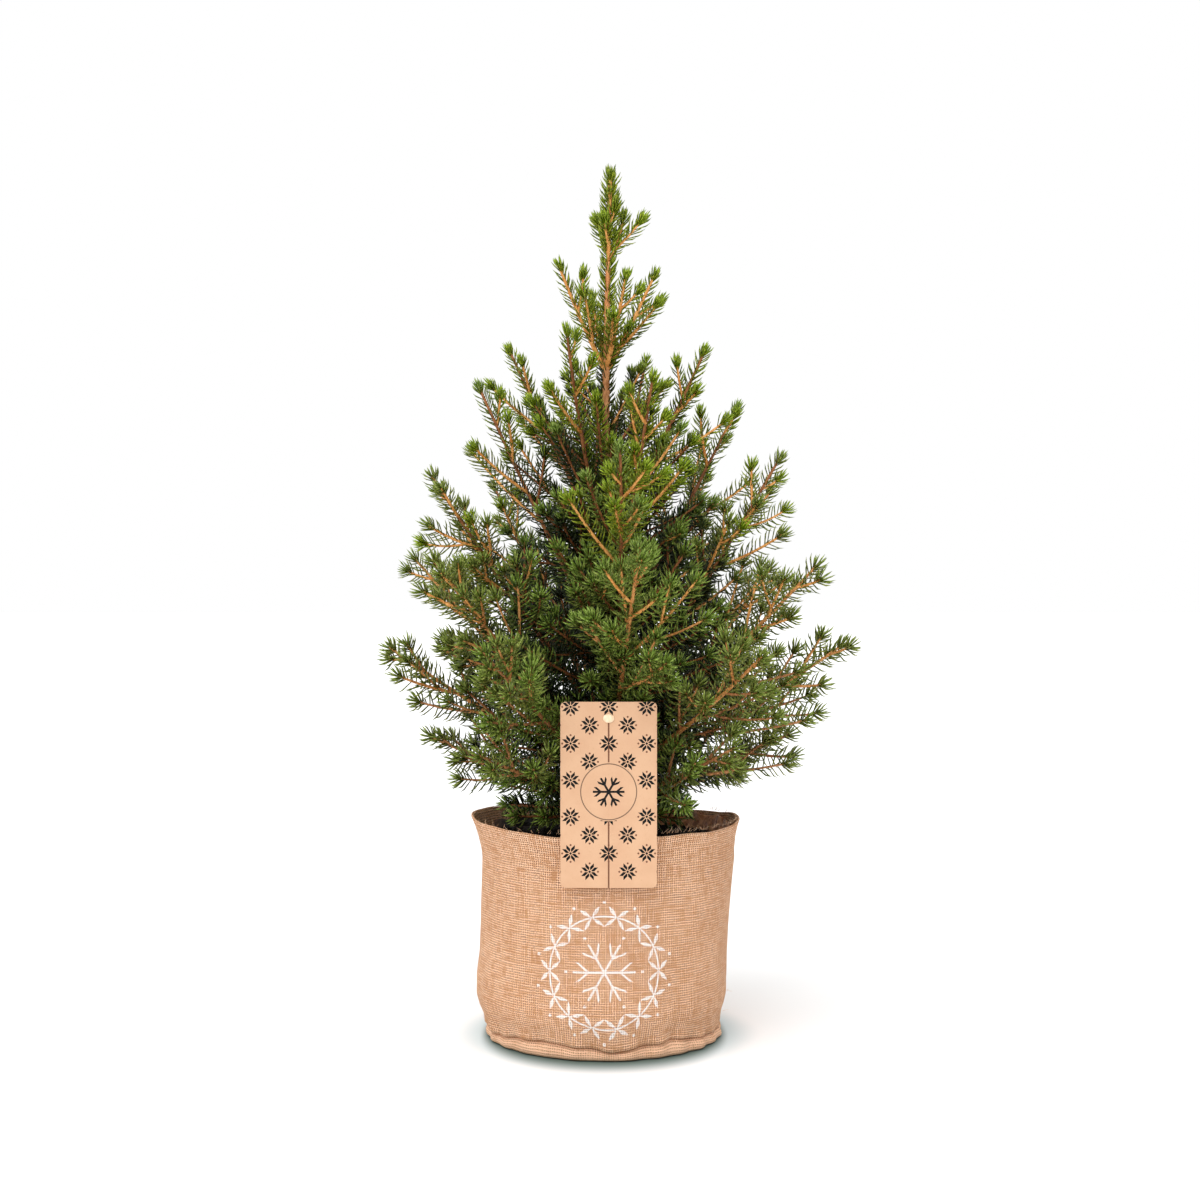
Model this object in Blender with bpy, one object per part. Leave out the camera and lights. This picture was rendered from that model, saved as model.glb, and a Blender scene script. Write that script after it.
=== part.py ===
"""Young potted white spruce in a jute planter bag, with a card tag on a peg.

Units are metres, +Z is up, the front of the bag faces -Y and the origin is at
the middle of the bag's flat underside.
"""
import bpy
import bmesh
import math
import random
import numpy as np
from mathutils import Vector

for old in list(bpy.data.objects):
    bpy.data.objects.remove(old, do_unlink=True)

# Heights of the whole plant
SOIL_TOP = 0.1480
TRUNK_TOP = 0.5760
LEADER_END = 0.6400
TUFT = 0.0100

# Clearances between neighbouring pieces
GAP = 0.0003
SPACE = 0.0013

# Trunk
TRUNK_FOOT_RADIUS = 0.0060
TRUNK_TIP_RADIUS = 0.0018
ROOT_FLARE = 0.0038
FLARE_HEIGHT = 0.0080
TRUNK_SIDES = 8

# Growth rule: tiers of boughs round the trunk, from the skirt to the crest.
# Each tier: name, boughs, first azimuth in degrees, height of the feet, height of
# the tips, reach of the tips, share of the length that is bare bough.
SEED = 669
TIERS = (
    ("skirt", 5, 21.0, 0.172, 0.220, 0.150, 0.36),
    ("wide", 6, 3.0, 0.186, 0.292, 0.172, 0.36),
    ("waist", 6, 39.0, 0.201, 0.354, 0.166, 0.36),
    ("shoulder", 5, 57.0, 0.228, 0.419, 0.133, 0.0),
    ("neck", 4, 17.0, 0.284, 0.470, 0.102, 0.0),
    ("collar", 4, 68.0, 0.362, 0.512, 0.078, 0.0),
    ("crest", 4, 17.0, 0.496, 0.562, 0.036, 0.0),
)
WANDER_AZIMUTH = 5.0
WANDER_HEIGHT = 0.010
WANDER_REACH = 0.05
FOOT_STEP = 0.0016
SAG = 0.04
SWAY = 0.035

# Side twigs
GOLDEN = math.radians(137.508)
TWIG_PITCH = 0.0140
TWIG_ANGLE = math.radians(40.0)
TWIG_LONG = 0.64
TWIG_SHORT = 0.36
TWIG_CAP = 0.085
TWIG_LEAST = 0.020
TWIGS_KEPT = 5
LEADER_TWIGS = 3

# Limbs and twigs
BOUGH_FOOT_RADIUS = 0.0022
BOUGH_END_RADIUS = 0.0018
BOUGH_SIDES = 5
STEM_RADIUS = 0.0017
STEM_TIP_RADIUS = 0.0011
TWIG_RADIUS = 0.0013

# Needles of the solids, fewer and larger than life
NEEDLE_PITCH = 0.0047
NEEDLE_OUT = 0.0082
NEEDLE_FORWARD = 0.0080
SHORT_NEEDLE = 0.62
PLAIN_PITCH = 0.0180

# Jute bag
BAG_SIDES = 32
BAG_WALL = 0.0024
BAG_WAVE = 0.0006
RIM_WAVE = 0.0009
BAG_OUTER = (
    (0.0000, 0.0810),
    (0.0022, 0.0850),
    (0.0100, 0.0880),
    (0.0175, 0.0886),
    (0.0310, 0.0929),
    (0.0600, 0.0921),
    (0.1000, 0.0931),
    (0.1380, 0.0942),
    (0.1520, 0.0970),
    (0.1590, 0.0994),
)
RIM_TOP = 0.1603
SOIL_CLEAR = 0.0004
SOIL_EDGE_DROP = 0.0030

# Card tag and its peg
TAG_WIDTH = 0.0670
TAG_BOTTOM = 0.1240
TAG_TOP = 0.2530
TAG_THICK = 0.0009
TAG_CORNER = 0.0035
TAG_X = 0.0030
TAG_HOLE_Z = 0.2415
TAG_HOLE_RADIUS = 0.0026
PEG_RADIUS = 0.0019
PEG_SETBACK = 0.0880
PEG_FOOT = 0.1050
HEAD_WIDE = 0.0040
HEAD_HIGH = 0.0031
HEAD_THICK = 0.0014


def material(name, colour, roughness):
    """Principled material with one base colour."""
    made = bpy.data.materials.new(name)
    made.use_nodes = True
    shader = made.node_tree.nodes["Principled BSDF"]
    shader.inputs["Base Color"].default_value = (*colour, 1.0)
    shader.inputs["Roughness"].default_value = roughness
    return made


JUTE = (0.69, 0.40, 0.24)
SOIL = (0.020, 0.014, 0.010)
BARK = (0.28, 0.13, 0.06)
GREEN = (0.06, 0.11, 0.025)
CARD = (0.80, 0.55, 0.37)
PALE_WOOD = (0.84, 0.76, 0.62)


def mesh_object(name, verts, faces, mat, collection=None):
    """Object from vertices and faces, linked and given its material."""
    mesh = bpy.data.meshes.new(name)
    mesh.from_pydata([tuple(map(float, v)) for v in verts], [], faces)
    mesh.validate()
    mesh.update()
    made = bpy.data.objects.new(name, mesh)
    made.data.materials.append(mat)
    (collection or bpy.context.scene.collection).objects.link(made)
    return made


def apply_modifiers(made):
    """Bake the modifiers of an object into its mesh."""
    graph = bpy.context.evaluated_depsgraph_get()
    baked = bpy.data.meshes.new_from_object(made.evaluated_get(graph))
    made.modifiers.clear()
    made.data = baked


def loft(rings):
    """Closed solid from rings of equal size, capped flat at both ends."""
    rings = [np.asarray(r) for r in rings]
    count = len(rings[0])
    verts = np.concatenate(rings)
    faces = []
    for i in range(len(rings) - 1):
        for j in range(count):
            k = (j + 1) % count
            a = i * count
            b = a + count
            faces.append((a + j, a + k, b + k, b + j))
    faces.append(tuple(range(count - 1, -1, -1)))
    last = (len(rings) - 1) * count
    faces.append(tuple(range(last, last + count)))
    return verts, faces


def frames(points):
    """Tangents and two carried side directions along a curve."""
    points = np.asarray(points)
    tangents = np.gradient(points, axis=0)
    tangents /= np.linalg.norm(tangents, axis=1)[:, None]
    side = np.cross(tangents[0], (0.0, 0.0, 1.0))
    if np.linalg.norm(side) < 0.2:
        side = np.cross(tangents[0], (1.0, 0.0, 0.0))
    sides = []
    for t in tangents:
        side = side - t * side.dot(t)
        side = side / np.linalg.norm(side)
        sides.append(side)
    sides = np.array(sides)
    return tangents, sides, np.cross(tangents, sides)


def resample(points, stations):
    """Points at given lengths along a curve."""
    steps = np.linalg.norm(np.diff(points, axis=0), axis=1)
    along = np.concatenate(([0.0], np.cumsum(steps)))
    return np.stack([np.interp(stations, along, points[:, c]) for c in range(3)], axis=1)


def curve_length(points):
    return float(np.linalg.norm(np.diff(points, axis=0), axis=1).sum())


def bend(start, middle, end, count=25):
    """Quadratic curve through two ends, pulled to a middle point."""
    t = np.linspace(0.0, 1.0, count)[:, None]
    return (1 - t) ** 2 * start + 2 * t * (1 - t) * middle + t ** 2 * end


def tube(points, radii, sides, turn=0.0):
    """Rings of a round limb along a curve."""
    tangents, one, two = frames(points)
    angles = turn + np.arange(sides) * 2 * math.pi / sides
    rings = []
    for p, r, u, v in zip(points, radii, one, two):
        rings.append(p + r * (np.cos(angles)[:, None] * u + np.sin(angles)[:, None] * v))
    return rings


# Trunk line and radius

def trunk_point(height):
    """Middle of the trunk at a height, with its slight double bend."""
    u = (height - SOIL_TOP) / (0.65 - SOIL_TOP)
    x = 0.003 + 0.0035 * math.sin(3.4 * u + 2.6) + 0.003 * u
    y = 0.003 * math.sin(4.2 * u)
    return np.array((x, y, height))


def trunk_radius(height):
    """Even taper with a root flare at the soil."""
    u = (height - SOIL_TOP) / (TRUNK_TOP - SOIL_TOP)
    flare = ROOT_FLARE * math.exp(-(height - SOIL_TOP) / FLARE_HEIGHT)
    return TRUNK_FOOT_RADIUS * (1 - u) + TRUNK_TIP_RADIUS * u + flare


# Boughs and twigs by the growth rule

def tag_zone(points, margin):
    """True where points come too near the card tag or go out in front of it."""
    wide = np.abs(points[:, 0] - TAG_X) < TAG_WIDTH / 2 + margin
    return wide & (points[:, 1] < -0.0930 + margin) & (points[:, 2] < TAG_TOP + 0.006 + margin)


def rim_zone(points, margin):
    """True where points come too near the soil or the rim of the bag."""
    return points[:, 2] < RIM_TOP + margin


def side_twigs(curve, share, dice):
    """Side twigs a golden angle apart, long and short by turns, shorter to the tip."""
    total = curve_length(curve)
    at = (share + 0.03) * total
    spin = dice.uniform(0.0, 2 * math.pi)
    twigs = []
    number = 0
    while at < total - 0.016:
        ends = resample(curve, [at, at + 0.001])
        start = ends[0]
        ahead = (ends[1] - ends[0]) / np.linalg.norm(ends[1] - ends[0])
        across = np.cross(ahead, (0.0, 0.0, 1.0))
        across /= np.linalg.norm(across)
        over = np.cross(across, ahead)
        angle = spin + number * GOLDEN
        out = across * math.cos(angle) + over * math.sin(angle) * 0.7
        out /= np.linalg.norm(out)
        ratio = TWIG_SHORT if number % 2 else TWIG_LONG
        size = min((0.010 + ratio * (total - at)) * dice.uniform(0.85, 1.1), TWIG_CAP)
        first = ahead * math.cos(TWIG_ANGLE) + out * math.sin(TWIG_ANGLE)
        second = first + ahead * 0.35 + np.array((0.0, 0.0, 0.16))
        second /= np.linalg.norm(second)
        middle = start + first * size * 0.5
        twigs.append((number, bend(start, middle, middle + second * size * 0.5, 11)))
        number += 1
        at += TWIG_PITCH * dice.uniform(0.85, 1.15)
    return twigs


def grow():
    """All boughs from the tier table, each with its side twigs."""
    dice = random.Random(SEED)
    limbs = []
    for name, count, first, foot, tip, reach, share in TIERS:
        for k in range(count):
            azimuth = math.radians(first + 360.0 * k / count + dice.uniform(-1, 1) * WANDER_AZIMUTH)
            low = foot + FOOT_STEP * (1 if k % 2 else -1)
            high = tip + dice.uniform(-1, 1) * WANDER_HEIGHT
            wide = reach * (1 + dice.uniform(-1, 1) * WANDER_REACH)
            start = trunk_point(low)
            lean = trunk_point(high)
            end = np.array((lean[0] + wide * math.cos(azimuth), lean[1] + wide * math.sin(azimuth), high))
            span = np.linalg.norm(end - start)
            middle = (start + end) / 2
            middle[2] -= SAG * span
            middle += np.array((-math.sin(azimuth), math.cos(azimuth), 0.0)) * dice.uniform(-1, 1) * SWAY * span
            curve = bend(start, middle, end)
            limbs.append({"name": "%s_%d" % (name, k + 1), "curve": curve, "share": share,
                          "twigs": side_twigs(curve, share if share else 0.22, dice)})
    start = trunk_point(TRUNK_TOP)
    end = trunk_point(LEADER_END)
    curve = bend(start, (start + end) / 2, end, 13)
    twigs = []
    for k in range(LEADER_TWIGS):
        azimuth = math.radians(15.0 + 120.0 * k)
        out = np.array((math.cos(azimuth), math.sin(azimuth), 0.0))
        root = resample(curve, [0.003 + 0.004 * k])[0]
        tip = root + out * 0.012 + np.array((0.0, 0.0, 0.034 - 0.006 * k))
        middle = root + out * 0.010 + np.array((0.0, 0.0, 0.014))
        twigs.append((2 * k, bend(root, middle, tip, 11)))
    limbs.append({"name": "leader", "curve": curve, "share": 0.0, "twigs": twigs})
    return limbs


def cell_clear(points, owner, limbs, margin):
    """True for each point that is nearer to its own bough than to any other by a margin."""
    own = nearest(points, limbs[owner]["curve"])
    starts = np.concatenate([limb["curve"][:-1:2] for i, limb in enumerate(limbs) if i != owner])
    ends = np.concatenate([limb["curve"][2::2] for i, limb in enumerate(limbs) if i != owner])
    return nearest(points, starts, ends) - own > margin


def nearest(points, starts, ends=None):
    """Distance from each point to a curve, or to the nearest of many segments."""
    if ends is None:
        starts, ends = starts[:-1], starts[1:]
    steps = ends - starts
    apart = points[:, None] - starts[None]
    t = np.clip((apart * steps).sum(2) / (steps * steps).sum(1), 0.0, 1.0)
    return np.sqrt(((apart - t[..., None] * steps) ** 2).sum(2)).min(1)


def trunk_clear(points, margin):
    """True for each point outside the trunk by a margin."""
    line = np.array([trunk_point(h) for h in np.linspace(SOIL_TOP, TRUNK_TOP, 40)])
    radii = np.array([trunk_radius(h) for h in np.clip(points[:, 2], SOIL_TOP, TRUNK_TOP)])
    return nearest(points, line) > radii + margin


def keep_twigs(limbs):
    """Long twigs that stay in their bough's own space, cut back where they would leave it."""
    for owner, limb in enumerate(limbs):
        kept = []
        for number, curve in limb["twigs"]:
            if number % 2:
                continue
            good = cell_clear(curve, owner, limbs, 0.002)
            good &= ~tag_zone(curve, 0.006)
            good &= ~rim_zone(curve, 0.012)
            good[:2] = True
            count = len(curve) if good.all() else int(np.argmin(good))
            short = curve[:count]
            if count > 3 and curve_length(short) > TWIG_LEAST:
                kept.append(short)
        kept.sort(key=curve_length, reverse=True)
        limb["kept"] = kept[:TWIGS_KEPT]


# Sprays: a slim three-sided core that needles stand out of

def spray(points, radius, tip_radius, first, spin, allowed):
    """Closed spray along a curve, one corner of each row drawn out into a needle.

    Rows where no needle may stand are left out, apart from a few that keep the bend.
    """
    total = curve_length(points)
    count = max(5, int(round(total / NEEDLE_PITCH)) + 1)
    stations = np.linspace(0.0, total, count)
    line = resample(points, stations)
    tangents, one, two = frames(line)
    radii = np.interp(stations, (0.0, total), (radius, tip_radius))
    rows = []
    grown = 0
    last_at = 0.0
    for i in range(count):
        column = (-len(rows)) % 3
        turn = spin - math.radians(17.492) * len(rows)
        angles = turn + np.arange(3) * 2 * math.pi / 3
        outs = np.cos(angles)[:, None] * one[i] + np.sin(angles)[:, None] * two[i]
        ring = line[i] + outs * radii[i]
        close = min((total - stations[i]) / 0.012, 1.0)
        wide = NEEDLE_OUT * (0.45 + 0.55 * close)
        ahead = NEEDLE_FORWARD + 0.0015 * (1 - close)
        needle = outs[column] * wide + tangents[i] * ahead
        inner = 0 < i < count - 1
        may = inner and stations[i] >= first
        if may and not allowed(line[i] + needle, line[i]):
            needle = needle * SHORT_NEEDLE
            may = allowed(line[i] + needle, line[i])
        if may:
            ring[column] = line[i] + needle
            grown += 1
        elif inner and stations[i] - last_at < PLAIN_PITCH:
            continue
        rows.append(ring)
        last_at = stations[i]
    apex = line[-1] + tangents[-1] * TUFT
    verts = np.concatenate(rows + [apex[None]])
    faces = [(2, 1, 0)]
    for i in range(len(rows) - 1):
        for j in range(3):
            k = (j + 1) % 3
            a = 3 * i
            b = a + 3
            faces.append((a + j, a + k, b + k))
            faces.append((a + j, b + k, b + j))
    last = 3 * (len(rows) - 1)
    for j in range(3):
        faces.append((last + j, last + (j + 1) % 3, last + 3))
    return verts, faces, grown


def bare_rows(points, radius, tip_radius, sides):
    """Plain closed limb along a curve."""
    total = curve_length(points)
    stations = np.linspace(0.0, total, max(3, int(total / 0.022) + 2))
    line = resample(points, stations)
    radii = np.interp(stations, (0.0, total), (radius, tip_radius))
    return loft(tube(line, radii, sides))


def unite(name, parts, mat):
    """One Boolean union on a collection, applied, with the collection's objects removed."""
    if len(parts) == 1:
        return mesh_object(name, *parts[0], mat)
    group = bpy.data.collections.new(name + "_twigs")
    bpy.context.scene.collection.children.link(group)
    for index, (verts, faces) in enumerate(parts[1:]):
        mesh_object("%s_twig_%d" % (name, index), verts, faces, mat, group)
    body = mesh_object(name, *parts[0], mat)
    joint = body.modifiers.new("union", "BOOLEAN")
    joint.operation = "UNION"
    joint.operand_type = "COLLECTION"
    joint.collection = group
    joint.solver = "MANIFOLD"
    apply_modifiers(body)
    for made in list(group.objects):
        bpy.data.objects.remove(made, do_unlink=True)
    bpy.data.collections.remove(group)
    return body


def largest_piece(made):
    """Keep the largest closed piece of a mesh: loose scraps and sealed hollows go."""
    work = bmesh.new()
    work.from_mesh(made.data)
    bmesh.ops.remove_doubles(work, verts=work.verts, dist=0.0000005)
    seen = set()
    pieces = []
    for face in work.faces:
        if face in seen:
            continue
        stack = [face]
        seen.add(face)
        piece = []
        while stack:
            here = stack.pop()
            piece.append(here)
            for edge in here.edges:
                for other in edge.link_faces:
                    if other not in seen:
                        seen.add(other)
                        stack.append(other)
        pieces.append(piece)
    pieces.sort(key=len)
    for piece in pieces[:-1]:
        bmesh.ops.delete(work, geom=piece, context="FACES")
    loose = [v for v in work.verts if not v.link_faces]
    bmesh.ops.delete(work, geom=loose, context="VERTS")
    work.to_mesh(made.data)
    work.free()
    return len(pieces)


def cut_by(made, cutter):
    """Boolean difference that leaves the cutter's space free."""
    cut = made.modifiers.new("cut", "BOOLEAN")
    cut.operation = "DIFFERENCE"
    cut.object = cutter
    cut.solver = "EXACT"
    apply_modifiers(made)


# Materials
jute = material("jute_weave", JUTE, 0.9)
earth = material("potting_soil", SOIL, 0.95)
bark = material("young_bark", BARK, 0.8)
leafage = material("spruce_needles", GREEN, 0.5)
card = material("kraft_card", CARD, 0.8)
pale = material("pale_wood", PALE_WOOD, 0.6)


# Jute bag: one lofted shell, outer wall up, over the rim and down inside
BAG_ANGLES = -math.pi / 2 + np.arange(BAG_SIDES) * 2 * math.pi / BAG_SIDES


def bag_ring(height, radius):
    """Ring of the bag with its soft unevenness, strongest at the rim."""
    rise = min(max(height / RIM_TOP, 0.0), 1.0)
    wave = BAG_WAVE * rise * np.cos(3 * BAG_ANGLES + 0.6) + RIM_WAVE * rise ** 6 * np.cos(2 * BAG_ANGLES)
    r = radius + wave
    lift = 0.0006 * rise ** 6 * np.sin(5 * BAG_ANGLES + 1.0) if rise > 0.9 else 0.0 * BAG_ANGLES
    return np.stack((r * np.cos(BAG_ANGLES), r * np.sin(BAG_ANGLES), height + lift), axis=1)


bag_rings = [bag_ring(z, r) for z, r in BAG_OUTER]
bag_rings.append(bag_ring(RIM_TOP, BAG_OUTER[-1][1] - BAG_WALL * 0.5))
bag_inner = BAG_OUTER[3::2]
for z, r in reversed(bag_inner):
    bag_rings.append(bag_ring(z, r - BAG_WALL))
bag_rings.append(bag_ring(BAG_WALL, BAG_OUTER[1][1] - BAG_WALL))
jute_bag = mesh_object("jute_bag", *loft(bag_rings), jute)

# Soil: fills the bag to a little below the rim, level round the trunk
soil_rings = [bag_ring(BAG_WALL + SOIL_CLEAR, BAG_OUTER[1][1] - BAG_WALL - SOIL_CLEAR)]
for z, r in bag_inner[:3]:
    soil_rings.append(bag_ring(z, r - BAG_WALL - SOIL_CLEAR))
edge = SOIL_TOP - SOIL_EDGE_DROP
edge_radius = float(np.interp(edge, [z for z, r in bag_inner], [r for z, r in bag_inner]))
soil_rings.append(bag_ring(edge, edge_radius - BAG_WALL - SOIL_CLEAR))
lumps = random.Random(SEED + 1)
for radius, drop in ((0.074, 0.0016), (0.046, 0.0010)):
    ring = bag_ring(SOIL_TOP - drop, radius)
    ring[:, 2] += np.array([lumps.uniform(-0.0009, 0.0006) for _ in range(BAG_SIDES)])
    soil_rings.append(ring)
flat = bag_ring(SOIL_TOP - GAP, 0.020)
flat[:, 2] = SOIL_TOP - GAP
soil_rings.append(flat)
soil = mesh_object("soil", *loft(soil_rings), earth)

# Trunk: flat cut at the soil, root flare, even taper to the foot of the leader
trunk_heights = [SOIL_TOP, SOIL_TOP + 0.004, SOIL_TOP + 0.010, SOIL_TOP + 0.020]
trunk_heights += [SOIL_TOP + 0.045 + (TRUNK_TOP - SOIL_TOP - 0.045) * k / 9 for k in range(10)]


def trunk_rings(swell, heights):
    """Level rings of the trunk, with a slightly lobed flare."""
    turns = np.arange(TRUNK_SIDES) * 2 * math.pi / TRUNK_SIDES
    rings = []
    for h in heights:
        lobes = 1 + 0.16 * math.exp(-(h - SOIL_TOP) / FLARE_HEIGHT) * np.cos(3 * turns)
        r = trunk_radius(h) * lobes + swell
        middle = trunk_point(h)
        rings.append(np.stack((middle[0] + r * np.cos(turns), middle[1] + r * np.sin(turns),
                               np.full(TRUNK_SIDES, h)), axis=1))
    return rings


trunk = mesh_object("trunk", *loft(trunk_rings(0.0, trunk_heights)), bark)
cutters = bpy.data.collections.new("cutters")
bpy.context.scene.collection.children.link(cutters)
tool_heights = [SOIL_TOP - 0.002] + trunk_heights[1:] + [TRUNK_TOP + 0.0001]
trunk_tool = mesh_object("trunk_clearance", *loft(trunk_rings(GAP, tool_heights)), bark, cutters)
trunk_tool.hide_render = True
trunk_tool.display_type = "WIRE"

# Boughs and masses
limbs = grow()
keep_twigs(limbs)
axes = []
for owner, limb in enumerate(limbs):
    axes.append((owner, limb["curve"], -1))
    for index, twig in enumerate(limb["kept"]):
        axes.append((owner, twig, index))


def needle_test(owner, which):
    """Rule for a needle: its length stays nearest to its own twig and clear of all else."""
    own = [c for o, c, w in axes if o == owner and w == which][0]
    others = [c for o, c, w in axes if not (o == owner and w == which)]
    starts = np.concatenate([c[:-1] for c in others])
    ends = np.concatenate([c[1:] for c in others])

    def allowed(end, root):
        shares = np.array((1.0, 0.6, 0.35))
        points = root + (end - root) * shares[:, None]
        mine = nearest(points, own)
        rest = nearest(points, starts, ends)
        good = (rest - mine > SPACE + 0.0012 * (1 - shares)) & (rest > 0.0046)
        good &= trunk_clear(points, 0.0012)
        good &= ~tag_zone(points, 0.0008) & ~rim_zone(points, 0.0012)
        return bool(good.all())

    return allowed


report = []
for owner, limb in enumerate(limbs):
    total = curve_length(limb["curve"])
    dice = random.Random(SEED * 100 + owner)
    stem = limb["curve"]
    foot_radius = STEM_RADIUS + 0.0004
    start_needles = 0.010
    if limb["share"] > 0:
        split = limb["share"] * total
        lower = resample(stem, np.linspace(0.0, split - GAP, 9))
        bough = mesh_object("bough_" + limb["name"],
                            *bare_rows(lower, BOUGH_FOOT_RADIUS, BOUGH_END_RADIUS, BOUGH_SIDES), bark)
        cut_by(bough, trunk_tool)
        stem = resample(stem, np.linspace(split, total - TUFT, 17))
        foot_radius = BOUGH_END_RADIUS
    elif limb["name"] == "leader":
        stem = resample(stem, np.linspace(GAP, total, 17))
        foot_radius = TRUNK_TIP_RADIUS
        start_needles = 0.006
    else:
        stem = resample(stem, np.linspace(0.0, total - TUFT, 21))
        start_needles = 0.030 if total > 0.1 else 0.016
    verts, faces, count = spray(stem, foot_radius, STEM_TIP_RADIUS, start_needles,
                                dice.uniform(0.0, 2 * math.pi), needle_test(owner, -1))
    parts = [(verts, faces)]
    for index, twig in enumerate(limb["kept"]):
        length = curve_length(twig)
        line = resample(twig, np.linspace(0.0, length - TUFT * 0.8, 11))
        verts, faces, more = spray(line, TWIG_RADIUS, STEM_TIP_RADIUS * 0.9, 0.007,
                                   dice.uniform(0.0, 2 * math.pi), needle_test(owner, index))
        parts.append((verts, faces))
        count += more
    name = "needles_" + limb["name"]
    mass = unite(name, parts, leafage)
    if limb["share"] == 0 and limb["name"] != "leader":
        cut_by(mass, trunk_tool)
    pieces = largest_piece(mass)
    report.append((name, len(parts), count, pieces, sum(len(p.vertices) - 2 for p in mass.data.polygons)))

bpy.data.objects.remove(trunk_tool, do_unlink=True)
bpy.data.collections.remove(cutters)

# Card tag: rounded card with a hole, its back just clear of the rim
rim_front = -min(v.co.y for v in jute_bag.data.vertices if abs(v.co.x - TAG_X) < TAG_WIDTH / 2)
tag_back = -(rim_front + GAP + 0.0001)


def outline(width, bottom, top, corner, steps=4):
    """Corners of an upright card with rounded edges, in its own plane."""
    points = []
    for cx, cz, start in ((width / 2 - corner, bottom + corner, -90.0), (width / 2 - corner, top - corner, 0.0),
                          (-width / 2 + corner, top - corner, 90.0), (-width / 2 + corner, bottom + corner, 180.0)):
        for k in range(steps + 1):
            turn = math.radians(start + 90.0 * k / steps)
            points.append((cx + corner * math.cos(turn), cz + corner * math.sin(turn)))
    return points


def add_ring(shape, points):
    """Closed straight-sided loop of a flat curve."""
    loop = shape.splines.new("POLY")
    loop.points.add(len(points) - 1)
    for point, (x, z) in zip(loop.points, points):
        point.co = (x, z, 0.0, 1.0)
    loop.use_cyclic_u = True


flat_card = bpy.data.curves.new("card_outline", "CURVE")
flat_card.dimensions = "2D"
flat_card.fill_mode = "BOTH"
flat_card.extrude = TAG_THICK / 2
add_ring(flat_card, outline(TAG_WIDTH, TAG_BOTTOM, TAG_TOP, TAG_CORNER))
hole_turns = [2 * math.pi * k / 12 for k in range(12)]
add_ring(flat_card, [(TAG_HOLE_RADIUS * math.cos(a), TAG_HOLE_Z + TAG_HOLE_RADIUS * math.sin(a))
                     for a in hole_turns])
card_maker = bpy.data.objects.new("card_maker", flat_card)
bpy.context.scene.collection.objects.link(card_maker)
graph = bpy.context.evaluated_depsgraph_get()
card_mesh = bpy.data.meshes.new_from_object(card_maker.evaluated_get(graph))
bpy.data.objects.remove(card_maker, do_unlink=True)
work = bmesh.new()
work.from_mesh(card_mesh)
bmesh.ops.remove_doubles(work, verts=work.verts, dist=0.00001)
for v in work.verts:
    x, z, y = v.co
    v.co = Vector((x + TAG_X, tag_back - TAG_THICK / 2 - y, z))
bmesh.ops.recalc_face_normals(work, faces=work.faces)
work.to_mesh(card_mesh)
work.free()
card_mesh.materials.clear()
card_mesh.materials.append(card)
tag = bpy.data.objects.new("card_tag", card_mesh)
bpy.context.scene.collection.objects.link(tag)

# Peg: a stem in the soil, bent forward through the card's hole to an oval head
neck_end = tag_back - TAG_THICK - GAP
peg_line = np.array((
    (TAG_X, -PEG_SETBACK, PEG_FOOT),
    (TAG_X, -PEG_SETBACK, PEG_FOOT + 0.006),
    (TAG_X, -PEG_SETBACK, TAG_HOLE_Z - 0.0040),
    (TAG_X, -PEG_SETBACK - 0.0012, TAG_HOLE_Z - 0.0012),
    (TAG_X, -PEG_SETBACK - 0.0040, TAG_HOLE_Z),
    (TAG_X, neck_end, TAG_HOLE_Z),
))
tangents = np.gradient(peg_line, axis=0)
tangents[0] = (0, 0, 1)
tangents[1] = (0, 0, 1)
tangents[2] = (0, -0.25, 1)
tangents[-1] = (0, -1, 0)
tangents[-2] = (0, -1, 0.25)
tangents /= np.linalg.norm(tangents, axis=1)[:, None]
peg_rings = []
for point, ahead, radius in zip(peg_line, tangents, (0.0004, 1, 1, 1, 1, 1)):
    radius = PEG_RADIUS * (0.3 if radius < 0.5 else 1.0)
    across = np.array((1.0, 0.0, 0.0))
    over = np.cross(ahead, across)
    turn = np.arange(8) * math.pi / 4
    peg_rings.append(point + radius * (np.cos(turn)[:, None] * across + np.sin(turn)[:, None] * over))
for depth, grow_by in ((0.0, 1.0), (HEAD_THICK * 0.55, 1.0), (HEAD_THICK, 0.72)):
    turn = np.arange(8) * math.pi / 4
    ring = np.stack((TAG_X + HEAD_WIDE * grow_by * np.cos(turn), np.full(8, neck_end - depth),
                     TAG_HOLE_Z + HEAD_HIGH * grow_by * np.sin(turn)), axis=1)
    peg_rings.append(ring)
peg = mesh_object("tag_peg", *loft(peg_rings), pale)

# Hole in the soil that the peg stands in
bore_turns = np.arange(10) * 2 * math.pi / 10
bore_rings = []
for z in (PEG_FOOT - 0.0006, SOIL_TOP + 0.01):
    bore_rings.append(np.stack((TAG_X + (PEG_RADIUS + 0.0004) * np.cos(bore_turns),
                                -PEG_SETBACK + (PEG_RADIUS + 0.0004) * np.sin(bore_turns),
                                np.full(10, z)), axis=1))
bore = mesh_object("peg_bore", *loft(bore_rings), earth)
cut_by(soil, bore)
bpy.data.objects.remove(bore, do_unlink=True)

total_faces = 0
for made in bpy.context.scene.objects:
    if made.type == "MESH":
        total_faces += sum(len(p.vertices) - 2 for p in made.data.polygons)
for line in report:
    print("mass", *line)
print("objects", len(bpy.context.scene.objects), "triangles", total_faces)
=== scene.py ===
"""Young potted spruce in a jute planter bag, dressed for its picture.

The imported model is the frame. Boughs, twigs and needles grow here by the same rule as
the solids, carried on to finer twigs. Units are metres, +Z is up, the front faces -Y.
"""
import math
import random

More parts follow.
